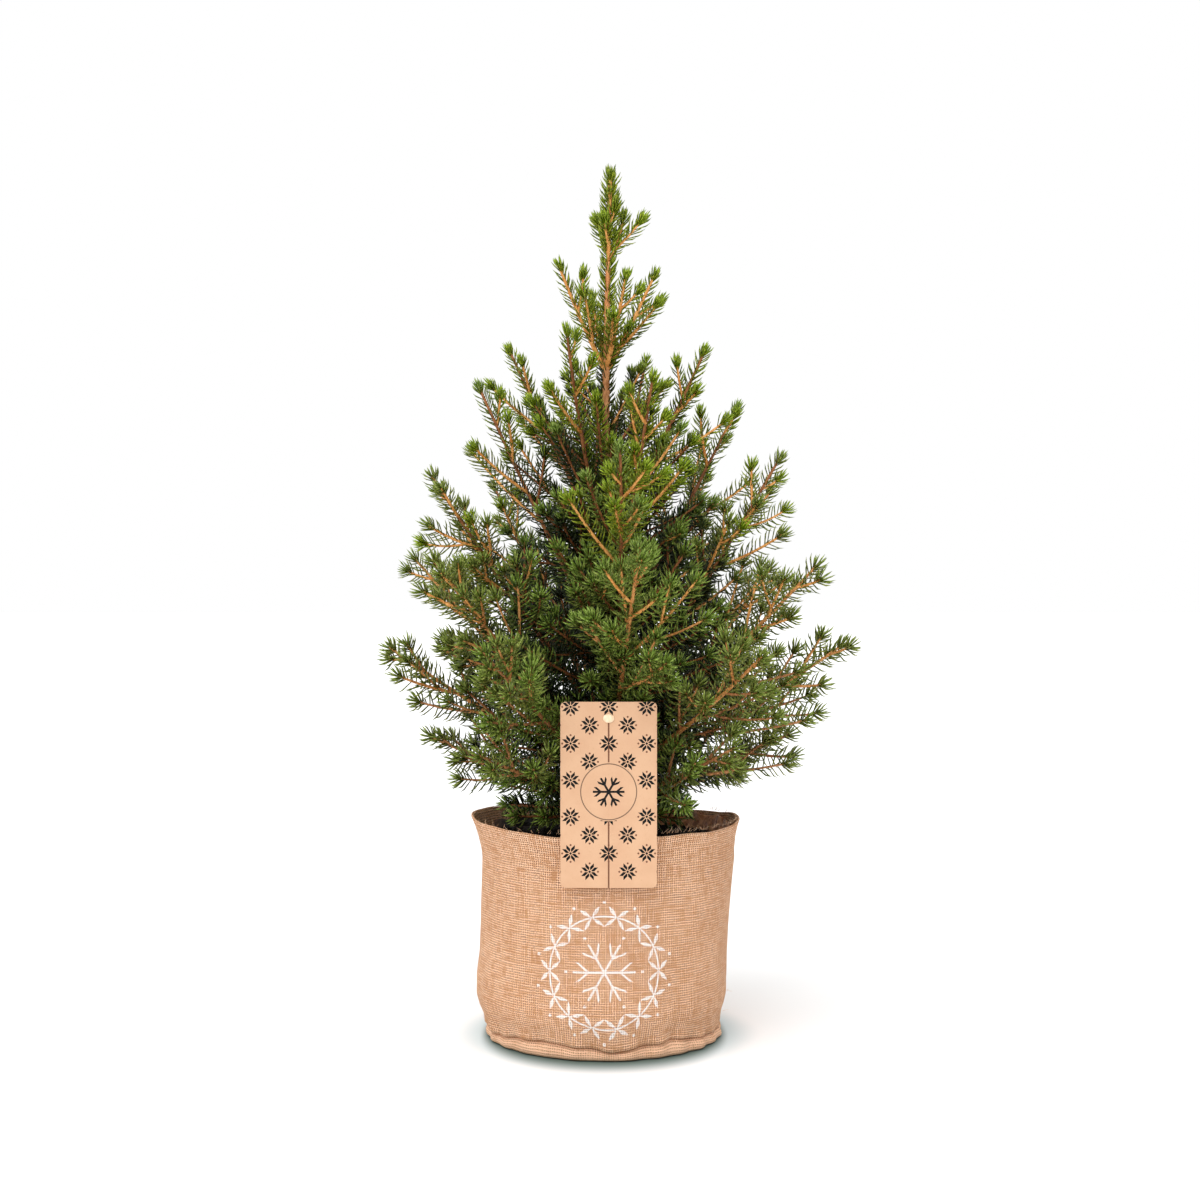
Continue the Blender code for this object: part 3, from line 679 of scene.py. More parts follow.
class Finish:
    """One finish of the plant or its pot: a material, its nodes and its shader."""

    def __init__(self, name, roughness, gloss):
        self.material = bpy.data.materials.new(name)
        self.material.use_nodes = True
        self.tree = self.material.node_tree
        self.shader = self.tree.nodes["Principled BSDF"]
        self.shader.inputs["Roughness"].default_value = roughness
        self.shader.inputs["Specular IOR Level"].default_value = gloss

    def node(self, kind, settings=None, values=None, output=0):
        """Any node: its settings first, then the values or links of its sockets."""
        made = self.tree.nodes.new(kind)
        for key, value in (settings or {}).items():
            setattr(made, key, value)
        for key, value in (values or {}).items():
            if isinstance(value, Wire):
                self.tree.links.new(value.socket, made.inputs[key])
            else:
                made.inputs[key].default_value = value
        return Wire(self, made.outputs[output])

    def sum(self, operation, *terms):
        """One Math node of the terms."""
        return self.node("ShaderNodeMath", {"operation": operation}, dict(enumerate(terms)))

    def most(self, *masks):
        """The greatest of two or more values."""
        found = masks[0]
        for mask in masks[1:]:
            found = self.sum("MAXIMUM", found, mask)
        return found

    def parts(self, where):
        """The x, y and z of a vector."""
        return [self.node("ShaderNodeSeparateXYZ", None, {0: where}, c) for c in range(3)]

    def place(self):
        """Object coordinates, whole and as x, y and z."""
        where = self.node("ShaderNodeTexCoord", output="Object")
        return where, self.parts(where)

    def cloth(self):
        """The piece's own map, in metres round and along the cloth."""
        where = self.node("ShaderNodeUVMap", {"uv_map": "cloth"})
        return where, self.parts(where)

    def span(self, x, y):
        """Distance from a centre: the root of x squared + y squared."""
        return self.sum("SQRT", x * x + y * y)

    def polar(self, x, y):
        """Distance from a centre, and the turn round it."""
        return self.span(x, y), self.sum("ARCTAN2", y, x)

    def fold(self, turn, count):
        """The turn from the middle of the nearest of so many equal parts."""
        return self.sum("WRAP", turn, math.pi / count, -math.pi / count)

    def noise(self, where, scale, detail=2.0, stretch=None, distortion=0.0):
        """Soft noise over a place, drawn out where a stretch is given."""
        if stretch:
            where = self.node("ShaderNodeVectorMath", {"operation": "MULTIPLY"}, {0: where, 1: stretch})
        values = {"Vector": where, "Scale": scale, "Detail": detail, "Distortion": distortion}
        return self.node("ShaderNodeTexNoise", None, values, "Fac")

    def soften(self, value, low, high, start=0.0, end=1.0):
        """Smooth step from start to end as the value goes from low to high."""
        values = {"Value": value, "From Min": low, "From Max": high, "To Min": start, "To Max": end}
        return self.node("ShaderNodeMapRange", {"interpolation_type": "SMOOTHSTEP"}, values)

    def blend(self, share, one, two):
        """Colour one turned into colour two by a share."""
        colours = {0: share}
        for key, colour in ((6, one), (7, two)):
            colours[key] = colour if isinstance(colour, Wire) else (*colour, 1.0)
        return self.node("ShaderNodeMix", {"data_type": "RGBA"}, colours, 2)

    def feed(self, name, value):
        """A value led into the shader."""
        self.tree.links.new(value.socket, self.shader.inputs[name])

    def bump(self, height, distance, strength=1.0):
        """Fine relief of the surface."""
        values = {"Height": height, "Distance": distance, "Strength": strength}
        self.feed("Normal", self.node("ShaderNodeBump", None, values))


def patchy(made, dark, light, scale, low, high, detail=2.0, stretch=None):
    """Colour in soft patches: noise, stepped smoothly from a dark colour to a light one."""
    where, _ = made.place()
    pattern = made.noise(where, scale, detail, stretch)
    made.feed("Base Color", made.blend(made.soften(pattern, low, high), dark, light))
    return where, pattern


def needle_finish(name, dark, light):
    """Waxy needles: one colour paled in patches, partly waxy bloom and partly painted highlight."""
    made = Finish(name, 0.36, 0.20)
    patchy(made, dark, light, 420.0, 0.42, 0.66)
    return made.material


def bark_finish(name, dark, light, grain, upper=None):
    """Thin bark: lighter cushions and darker chinks along the limb, with raised grain.

    With upper colours given, the trunk turns to them between two heights.
    """
    made = Finish(name, 0.62, 0.3)
    where, (_, _, z) = made.place()
    fine = made.noise(where, grain, 3.0, (1.0, 1.0, 0.45), 0.4)
    broad = made.noise(where, grain * 0.12, 2.0)
    tone = made.soften(fine * 0.7 + broad * 0.5, 0.42, 0.78)
    colour = made.blend(tone, dark, light)
    if upper:
        colour = made.blend(made.soften(z, 0.42, 0.55), colour, made.blend(tone, *upper))
    made.feed("Base Color", colour)
    made.feed("Roughness", made.soften(fine, 0.3, 0.7, 0.74, 0.52))
    made.bump(fine, 0.0004, 0.8)
    return made.material


def crystal(made, x, y, reach, stroke):
    """Mask of a six-armed snow crystal: a bar down each arm and a pair of barbs."""
    out, turn = made.polar(x, y)
    fold = abs(made.fold(turn, 6))
    p = out * made.sum("COSINE", fold)
    q = out * made.sum("SINE", fold)
    arm = (q < stroke) * (p < reach)
    slope = abs(q - (p - reach * 0.50) * 0.85)
    barb = (slope < stroke * 1.2) * (q < reach * 0.30) * (p > reach * 0.48)
    return made.most(arm, barb)


# Print of the card, in millimetres
STAR_HALF_STEP = (13.2, 12.7)
TOP_STARS = 249.5
DOT_REACH = 5.80
RING_HEIGHT = 190.6
RING_RADIUS = 19.4


def card_finish():
    """Kraft card printed with rows of eight-petalled stars, a fine ring and a centre line.

    Two lattices of stars, half a step apart, make the rows.
    """
    made = Finish("printed_kraft_card", 0.72, 0.25)
    where, (x, y, z) = made.place()
    x = (x - TAG_X) * 1000.0
    z = z * 1000.0
    wide, high = STAR_HALF_STEP
    stars = []
    dots = []
    for shift in (0.0, 1.0):
        px = made.sum("WRAP", x + wide * shift, wide, -wide)
        pz = made.sum("WRAP", z - TOP_STARS + high * shift, high, -high)
        out, turn = made.polar(px, pz)
        square = made.fold(turn, 4)
        sx = out * made.sum("COSINE", square)
        sy = abs(out * made.sum("SINE", square))
        slip = sx - sy
        petal = (sy > 0.26) * (sy < 2.95) * (slip > 0.40) * (slip < 2.95) * (sx + sy > 1.75)
        stars.append(made.most(petal, out < 0.85))
        dx = out * made.sum("COSINE", square) - DOT_REACH
        dy = out * made.sum("SINE", square)
        dots.append((dx * dx + dy * dy) < 0.50)
    rz = z - RING_HEIGHT
    ring_out = made.span(x, rz)
    outside = ring_out > RING_RADIUS + 1.0
    star = made.most(*stars) * outside * (z > 129.5)
    dot = made.most(*dots) * outside * (z > 131.0)
    ring = abs(ring_out - RING_RADIUS) < 0.36
    line = (abs(x) < 0.55) * outside * (z < 240.0)
    flake = crystal(made, x, rz, 11.0, 0.75)
    facing = made.parts(made.node("ShaderNodeNewGeometry", output="Normal"))[1] < -0.5
    fleck = made.noise(where, 1500.0, 3.0, (1.0, 1.0, 0.4))
    tone = made.soften(made.noise(where, 60.0, 3.0), 0.3, 0.7)
    paper = made.blend(tone, (0.637, 0.380, 0.232), (0.673, 0.417, 0.258))
    paper = made.blend(made.soften(fleck, 0.58, 0.78, 0.0, 0.35), paper, (0.50, 0.27, 0.14))
    ink = made.most(star, flake, ring * 0.75) * facing
    brown = made.most(dot, line) * facing
    paper = made.blend(brown * 0.9, paper, (0.12, 0.035, 0.015))
    made.feed("Base Color", made.blend(ink, paper, (0.002, 0.002, 0.002)))
    made.bump(fleck, 0.00005, 0.5)
    return made.material


# Print of the bag, in millimetres
WREATH_RADIUS = 39.5
LEAF_PAIRS = 14


def wreath(made, u, v):
    """Mask of the bag's print, in millimetres: a ring with leaf pairs and berries, and a crystal."""
    x = u * 1000.0
    y = (v - PRINT_HEIGHT) * 1000.0
    out, turn = made.polar(x, y)
    p = out - WREATH_RADIUS
    q = made.fold(turn, LEAF_PAIRS) * out
    along_leaf = abs(q) * 0.72 + abs(p) * 0.72
    off_leaf = abs(abs(p) - abs(q))
    leaf = (abs(along_leaf - 5.4) < 4.6) * (off_leaf < 2.1 - abs(along_leaf - 5.6) * 0.38)
    stem = abs(p) < 0.62
    between = made.fold(turn + math.pi / LEAF_PAIRS, LEAF_PAIRS) * out
    berries = (abs(out - WREATH_RADIUS - 10.0) < 1.05) * (abs(between) < 1.0)
    tiny = (abs(out - WREATH_RADIUS + 12.0) < 1.0) * (abs(made.fold(turn, 6) * out) < 0.95)
    return made.most(leaf, stem, berries, crystal(made, x, y, 22.5, 0.85), tiny)


def jute_finish():
    """Plain jute weave, uneven threads with painted shade between, and a worn white print on the front.

    Threads run at whole steps of the cloth's map. Which thread is on top goes by turns:
    cos(pi u) * cos(pi v) keeps its sign inside one crossing and changes at the next.
    """
    made = Finish("jute_weave_cloth", 0.92, 0.12)
    where, (u, v, _) = made.cloth()
    _, (_, depth, _) = made.place()
    a = u / THREAD + (made.noise(where, 40.0, 2.0) - 0.5) * 0.8
    b = v / THREAD + (made.noise(where, 40.0, 2.0, (1.3, 0.8, 1.0)) - 0.5) * 0.8
    warp_thread = made.noise(where, 1.0, 2.0, (600.0, 70.0, 1.0))
    weft_thread = made.noise(where, 1.0, 2.0, (70.0, 600.0, 1.0))
    across = abs(made.sum("SINE", a * math.pi))
    along = abs(made.sum("SINE", b * math.pi))
    on_top = made.sum("COSINE", a * math.pi) * made.sum("COSINE", b * math.pi)
    raised = made.most(across * (0.66 + 0.34 * on_top), along * (0.66 - 0.34 * on_top))
    fuzz = made.noise(where, 1300.0, 3.0) - 0.5
    spun = warp_thread + weft_thread - 1.0
    cloud = made.noise(where, 24.0, 3.0) - 0.5
    height = made.soften(raised * 0.95 + fuzz * 0.55 + spun * 0.45, 0.05, 0.95)
    # Gaps between the threads, where painted shade goes
    painted_gap_shade = made.most(across, along) - spun * 0.9 + fuzz * 0.9
    tone = made.soften(spun * 0.80 + fuzz * 0.8 + cloud * 0.2, -0.16, 0.16)
    cloth = made.blend(tone, (0.560, 0.290, 0.150), (0.990, 0.640, 0.425))
    # Painted shade: darker where the threads lie low, darkest in the gaps between them
    cloth = made.blend(made.soften(height, 0.05, 0.55, 0.50, 0.0), cloth, (0.40, 0.170, 0.070))
    cloth = made.blend(made.soften(painted_gap_shade, 0.40, 0.92, 0.95, 0.0), cloth, (0.150, 0.050, 0.018))
    # Painted light: the downward-facing hem at the base is lightened in place of bounce light from the floor
    painted_hem_light = made.soften(v, 0.008, 0.014, 1.0, 0.0)
    cloth = made.blend(painted_hem_light * 0.8 * made.soften(height, 0.0, 0.6), cloth, (0.97, 0.60, 0.39))
    worn = made.soften(height + (made.noise(where, 260.0, 3.0) - 0.5) * 0.8, 0.10, 0.38)
    shown = wreath(made, u, v) * (depth < 0.0) * worn * 0.88
    made.feed("Base Color", made.blend(shown, cloth, (0.90, 0.87, 0.85)))
    made.bump(height, 0.00050)
    return made.material


def lining_finish():
    """Brown film lining with crinkles that catch the light and painted highlights, darker to the left."""
    made = Finish("brown_lining", 0.38, 0.5)
    where, (x, _, _) = made.place()
    crease = made.noise(where, 160.0, 4.0, None, 1.2)
    # Painted highlights: the film pales on the crinkles
    film = made.blend(made.soften(crease, 0.38, 0.68), (0.46, 0.135, 0.028), (1.00, 0.50, 0.26))
    # Darker towards the left: near black left of the middle, dark brown in the left corner
    darker_left = made.soften(x, 0.000, 0.035, 1.0, 0.0) * made.soften(x, -0.088, -0.074)
    film = made.blend(made.soften(x, -0.03, 0.02, 0.75, 0.0), film, (0.050, 0.022, 0.010))
    made.feed("Base Color", made.blend(darker_left, film, (0.010, 0.005, 0.003)))
    made.feed("Roughness", made.soften(crease, 0.3, 0.7, 0.30, 0.50))
    made.bump(crease, 0.0012, 0.8)
    return made.material


def soil_finish():
    """Dark peat with fibres and grit."""
    made = Finish("peat_soil", 0.95, 0.15)
    where, _ = patchy(made, (0.003, 0.002, 0.001), (0.018, 0.010, 0.006), 240.0, 0.35, 0.7, 3.0)
    made.bump(made.noise(where, 700.0, 4.0), 0.0012)
    return made.material


def fibre_finish():
    """Loose jute fibre, a pale gold with darker stretches."""
    made = Finish("loose_jute_fibre", 0.8, 0.2)
    patchy(made, (0.70, 0.42, 0.25), (0.86, 0.62, 0.42), 400.0, 0.4, 0.7)
    return made.material


def wood_finish():
    """Pale smooth peg with faint grain along it."""
    made = Finish("peg_wood", 0.5, 0.35)
    _, grain = patchy(made, (0.93, 0.76, 0.55), (0.84, 0.62, 0.40), 700.0, 0.35, 0.7, 3.0, (1.0, 0.25, 0.25))
    made.bump(grain, 0.0001, 0.4)
    return made.material


def floor_finish():
    """Matt pale floor with the faintest unevenness, and a painted contact shadow with a soft painted halo
    close round the bag.
    """
    made = Finish("pale_floor", 0.9, 0.1)
    where, (x, y, _) = made.place()
    tone = made.soften(made.noise(where, 3.0), 0.3, 0.7)
    pale = made.blend(tone, (0.93, 0.93, 0.93), (0.95, 0.95, 0.95))
    out = made.span(x, y)
    front = y / out
    # Painted contact shadow: dark grey-green right round the foot of the bag, wider in front
    painted_contact_shadow = made.soften((out - 0.0845) / (0.009 + front * front * 0.032), 0.0, 1.0, 1.0, 0.0)
    # Painted shadow halo: a paler shade that fades out a little further from the bag
    painted_shadow_halo = made.soften(out, 0.0880, 0.1200, 1.0, 0.0)
    pale = made.blend(painted_shadow_halo, pale, (0.635, 0.740, 0.768))
    made.feed("Base Color", made.blend(painted_contact_shadow, pale, (0.120, 0.165, 0.145)))
    return made.material


# Trunk and boughs

OLD_BARK = ((0.13, 0.060, 0.020), (0.42, 0.20, 0.075), 420.0)
RISING_BARK = ((0.47, 0.165, 0.045), (0.80, 0.37, 0.15))
INNER_BARK = ((0.16, 0.050, 0.014), (0.34, 0.130, 0.040), 620.0)
# Young bark, darker on low shoots and lighter on high ones: partly older and younger bark, partly painted
# shade and light
YOUNG_BARK = (
    ("low", (0.24, 0.085, 0.024), (0.52, 0.235, 0.090), 620.0),
    ("middle", (0.39, 0.145, 0.031), (0.69, 0.330, 0.109), 620.0),
    ("high", (0.54, 0.205, 0.038), (0.86, 0.425, 0.128), 620.0),
)


def trunk_surface(around=24, along=300):
    """Trunk with bark relief: radius = taper and flare * lobes * (1 + ridges).

    Ridges are waves that wind up the trunk, broken by a slower wave, and are deepest
    at the foot.
    """
    middle = trunk_line(SOIL_TOP - 0.004, TRUNK_TOP + 0.001, along)
    h, a = np.meshgrid(middle[:, 2], turns(around), indexing="ij")
    up = np.maximum(h, SOIL_TOP)
    lobes = 1 + 0.16 * np.exp(-(up - SOIL_TOP) / FLARE_HEIGHT) * np.cos(3 * a)
    ridges = 0.035 * np.cos(5 * a + 520 * h) + 0.03 * np.cos(8 * a - 390 * h) * np.cos(61 * h + a)
    ridges += 0.03 * np.cos(3 * a + 180 * h + 2 * np.cos(40 * h))
    r = trunk_radius(up) * lobes * (1 + ridges)
    rings = np.stack((middle[:, :1] + r * np.cos(a), middle[:, 1:2] + r * np.sin(a), h), axis=-1)
    poles = np.stack((middle[0], middle[-1] + 0.001 * UP))
    return np.concatenate((rings.reshape(-1, 3), poles)), tube_faces(1, along, around)


limbs = grow()
shoots = bough_shoots(limbs) + trunk_shoots(limbs)
lines, foot, tip, bare, pitch, order = (np.array(column) for column in zip(*shoots))
rng = np.random.default_rng(SEED)

rising = bark_finish("trunk_bark_rising", *OLD_BARK, RISING_BARK)
mesh_piece("trunk_bark", *trunk_surface(), rising, "young_bark", ["trunk"])

lower = [limb["lower"] for limb in limbs if limb["share"] > 0]
lower = np.array([resample(line, np.linspace(0.0, curve_length(line), 26)) for line in lower])
ends = [np.full(len(lower), radius) for radius in (BOUGH_FOOT_RADIUS, BOUGH_END_RADIUS)]
old_bark = bark_finish("trunk_bark", *OLD_BARK)
mesh_piece("bough_bark", *tubes(lower, *ends, 10, 0.07), old_bark, "young_bark", BOUGHS)

middles = lines[:, ROWS // 2]
reach = np.interp(middles[:, 2], CROWN_HEIGHTS, CROWN_REACH)
inner = (np.hypot(middles[:, 0], middles[:, 1]) < 0.52 * reach) & (middles[:, 2] < 0.47)
tint_dice = np.random.default_rng(SEED + 1).uniform(-1, 1, len(lines))
level = np.digitize(middles[:, 2] + 0.02 * tint_dice, (0.25, 0.31))


def twig_piece(name, chosen, sides, finish):
    """The chosen shoots as one piece of closed tubes."""
    verts, faces = tubes(lines[chosen], foot[chosen], tip[chosen], sides, 0.05)
    mesh_piece(name, verts, faces, finish, "young_bark", MASSES)


twig_piece("inner_twig_bark", inner, 5, bark_finish("inner_twig_bark", *INNER_BARK))
for number, (name, *bark) in enumerate(YOUNG_BARK):
    finish = bark_finish("shoot_bark_" + name, *bark)
    outer = ~inner & (level == number)
    twig_piece(name + "_shoot_bark", outer & (order < FINE_TWIG), 7, finish)
    twig_piece(name + "_fine_twig_bark", outer & (order >= FINE_TWIG), 5, finish)


# Needles, dealt out by spray to five greens in three tints

# Greens from dark to light; the dark ones deep in the crown are partly older needles and partly painted
# shade
GREENS = (
    ("deep", (0.014, 0.024, 0.001), (0.056, 0.072, 0.004)),
    ("shade", (0.042, 0.076, 0.003), (0.162, 0.208, 0.014)),
    ("olive", (0.076, 0.102, 0.003), (0.232, 0.262, 0.017)),
    ("outer", (0.094, 0.144, 0.004), (0.318, 0.374, 0.030)),
    ("fresh", (0.142, 0.216, 0.007), (0.325, 0.425, 0.036)),
)
DEEP, SHADE, OLIVE, OUTER, FRESH = range(5)
# The high tint is a lighter copy of each green, partly young growth and partly painted light on the top of
# the crown
# Tint: share and added blue of the dark colour, then of the light one
TINTS = (
    ("low", (0.93, 0.98, 2.4), 0.004, (0.96, 1.00, 2.0), 0.020),
    ("side", (0.97, 0.90, 2.4), 0.005, (1.00, 0.915, 2.05), 0.022),
    ("high", (1.12, 1.12, 1.12), 0.0, (1.12, 1.12, 1.12), 0.0),
)
LOW_TINT, SIDE_TINT, HIGH_TINT = range(3)


def seat_all():
    """Seats on every shoot, on the trunk and on the outer part of the boughs.

    Fewer needles sit low down and on the lower trunk, and twigs part to show their stem
    from the front and back.
    """
    wider = np.interp(middles[:, 2], (0.30, 0.42), (1.42, 1.0))
    seats = needle_seats(lines, foot, tip, bare, pitch * wider, rng)
    rest = len(woody) - 1
    clothed = needle_seats(woody, np.array([0.0046] + [0.0021] * rest), np.full(rest + 1, 0.0018),
                           np.zeros(rest + 1), np.array([0.42] + [0.95] * rest), rng)
    share = np.interp(clothed[:, 2], (0.30, 0.44, 0.50, 0.58), (0.25, 0.6, 0.6, 1.0))
    clothed = clothed[(clothed[:, SPRAY] > 0) | (rng.uniform(0, 1, len(clothed)) < share)]
    clothed[:, TO_TIP] += 0.008
    clothed[:, SPRAY] += len(lines)
    seats = np.concatenate((seats, clothed))
    outward = np.cos(seats[:, ANGLE]) * seats[:, 7] + np.sin(seats[:, ANGLE]) * seats[:, 10]
    parted = np.interp(np.abs(outward), (0.48, 0.84), (0.0, 0.70)) * (seats[:, TO_TIP] > 0.004)
    return seats[rng.uniform(0, 1, len(seats)) > parted]


def keeps_clear(middle, apex):
    """True for needles that keep off the tag, the bag and its open lining, and in the solids' box."""
    ends = np.concatenate((middle, apex))
    good = ~(tag_zone(ends, -0.0005) | bag_zone(ends, -0.002)).reshape(2, -1).any(axis=0)
    x, y, z = apex.T
    good &= z < cad_high[2] + 0.002
    box_low, box_high = np.array(cad_low)[:2] - BOX_SLACK, np.array(cad_high)[:2] + BOX_SLACK
    good &= ((apex[:, :2] > box_low) & (apex[:, :2] < box_high)).all(axis=1)
    return good & ~((z < 0.171) & (x > 0.03) & (y < 0.03) & (np.hypot(x, y) > 0.070))


def deal_greens(seats, apex):
    """The green of each needle by how far out its tip stands, with a throw for each spray.

    Deep inside the crown, shade or olive halfway, outer at the outline and on the front,
    fresh at the tips of shoots. The darker greens inside are partly older needles and partly
    painted shade; the lighter greens on the outline and front are partly young needles and partly painted
    light.
    """
    x, y, z = apex.T
    throw = rng.uniform(-1, 1, len(lines) + len(woody))[seats[:, SPRAY].astype(int)]
    out = np.hypot(x, y)
    edge = np.interp(z, CROWN_HEIGHTS, CROWN_REACH)
    # Painted shade: the deeper a needle's tip stands in the crown, the darker its green
    depth = 1 - np.clip(out / edge, 0, 1)
    outer = 1 - depth * np.interp(z, (0.28, 0.40), (1.32, 1.15)) + 0.16 * throw
    outer = outer + 0.10 * rng.uniform(-1, 1, len(apex))
    outer = np.maximum(outer, np.interp(z, (0.46, 0.54), (0.0, 0.85)))
    outer -= np.interp(z, (0.155, 0.18), (0.0, 0.25)) * np.interp(z, (0.18, 0.21), (1.0, 0.0))
    outer = np.maximum(outer, np.interp(z, (0.172, 0.180), (0.52, 0.0)) * (out > 0.035))
    front = np.minimum(edge, np.interp(z, (0.29, 0.36, 0.48), (0.078, 0.086, 0.040)))
    # Painted light: needles on the front of the crown take lighter greens
    facing = np.clip(1.0 - 1.75 * (1.0 + y / front), 0.0, 0.78) * (np.abs(x) < 0.055)
    outer = np.maximum(outer, facing + 0.26 * throw)
    half = np.where(throw > 0.0, SHADE, OLIVE)
    green = np.where(outer < 0.45, DEEP, np.where(outer < 0.73, half, OUTER))
    return np.where((seats[:, TO_TIP] < 0.0026) & (outer > 0.34) & (z < 0.618), FRESH, green)


def deal_tints(seats, base):
    """The tint of each needle by where the middle of its spray stands, with a throw for each."""
    spray = seats[:, SPRAY].astype(int)
    throw = np.append(tint_dice, np.zeros(len(woody)))[spray]
    place = np.concatenate((middles, woody[:, ROWS // 2]))[spray]
    on_trunk = spray == len(lines)
    place[on_trunk] = base[on_trunk]
    tint = np.where(np.abs(place[:, 0]) + 0.02 * throw > 0.055, SIDE_TINT, LOW_TINT)
    return np.where(place[:, 2] + 0.06 * throw > 0.39, HIGH_TINT, tint)


low_lines = [resample(line, np.linspace(0.30, 1.0, ROWS) * curve_length(line)) for line in lower]
woody = np.array([trunk_line(0.300, TRUNK_TOP, ROWS)] + low_lines)
seats = seat_all()
needles = needle_lines(seats, rng)
good = keeps_clear(*needles[1:])
seats = seats[good]
base, middle, apex = (points[good] for points in needles)
green = deal_greens(seats, apex)
tint = deal_tints(seats, base)
thick = NEEDLE_RADIUS * rng.uniform(0.85, 1.15, len(base))
thick *= np.interp(apex[:, 2], (0.30, 0.40, 0.52, 0.60), (1.20, 1.04, 1.06, 1.12))
for row, (name, dark, light) in enumerate(GREENS):
    for column, (part, dark_share, dark_blue, light_share, light_blue) in enumerate(TINTS):
        some = np.flatnonzero((green == row) & (tint == column))
        shades = (np.array(dark) * dark_share + (0, 0, dark_blue),
                  np.array(light) * light_share + (0, 0, light_blue))
        finish = needle_finish("needles_%s_%s" % (name, part), *(shade.tolist() for shade in shades))
        verts, faces = needle_mesh(base[some], middle[some], apex[some], thick[some])
        mesh_piece("%s_%s_needles" % (part, name), verts, faces, finish, "spruce_needles", MASSES)


# Jute bag

# Height and radius, from the base out and up the wall, over the rim and down inside
BAG_PROFILE = np.array((
    (0.0004, 0.0400), (0.0002, 0.0770), (0.0000, 0.0842), (0.0005, 0.0864), (0.0014, 0.0876),
    (0.0028, 0.0882), (0.0050, 0.0883), (0.0068, 0.0878), (0.0080, 0.0870), (0.0087, 0.0861),
    (0.0091, 0.0858), (0.0095, 0.0868), (0.0098, 0.0887), (0.0110, 0.0897), (0.0125, 0.0898),
    (0.0175, 0.0902), (0.0240, 0.0922), (0.0310, 0.0934), (0.0450, 0.0933), (0.0600, 0.0924),
    (0.0800, 0.0925), (0.1000, 0.0931), (0.1200, 0.0936), (0.1380, 0.0942), (0.1480, 0.0958),
    (0.1540, 0.0974), (0.1580, 0.0988), (0.1596, 0.0994), (0.1604, 0.0990), (0.1606, 0.0981),
    (0.1600, 0.0973), (0.1585, 0.0966), (0.1540, 0.0950), (0.1480, 0.0934), (0.1380, 0.0918),
    (0.1300, 0.0912), (0.1296, 0.0500)))
OUTER_WALL = BAG_PROFILE[15:28]
CREASE_HEIGHT = 0.0095
CREASE_REACH = 0.0320
# Turn from the front, in degrees, and lift of the rim, in millimetres
RIM_TURN = (0, 30, 60, 80, 90, 100, 125, 150, 180, 215, 240, 262, 270, 278, 300, 330, 360)
RIM_LIFT = (-2.6, -2.4, -1.6, 0.2, 1.0, 0.6, -1.6, -2.4, -1.2, 0.4, 1.6, 3.6, 4.6, 3.8, 0.8, -1.4, -2.6)


def waves(a, b, seed, low, high, count, fall=0.0):
    """Soft unevenness round a ring: a sum of cosines of whole turns, with drifting phase."""
    dice = np.random.default_rng(seed)
    total = 0.0
    for _ in range(count):
        n = dice.integers(low, high + 1)
        total = total + np.cos(n * a + dice.uniform(0, 6.283) + b * dice.uniform(-1, 1) * (30 + 60 * fall))
    return total / math.sqrt(count)


def round_points(r, a, z):
    """Points from radius, turn and height: (r cos a, r sin a, z)."""
    return np.stack((r * np.cos(a), r * np.sin(a), z), axis=-1).reshape(-1, 3)


def bag_stations():
    """Lengths along the profile: its corners, and steps of about 2 mm between them."""
    along, steps = lengths(BAG_PROFILE)
    keep = [along]
    for k in range(len(steps)):
        count = int(steps[k] / 0.0020)
        if count > 1:
            keep.append(np.linspace(along[k], along[k + 1], count, endpoint=False)[1:])
    return along, np.unique(np.concatenate(keep))


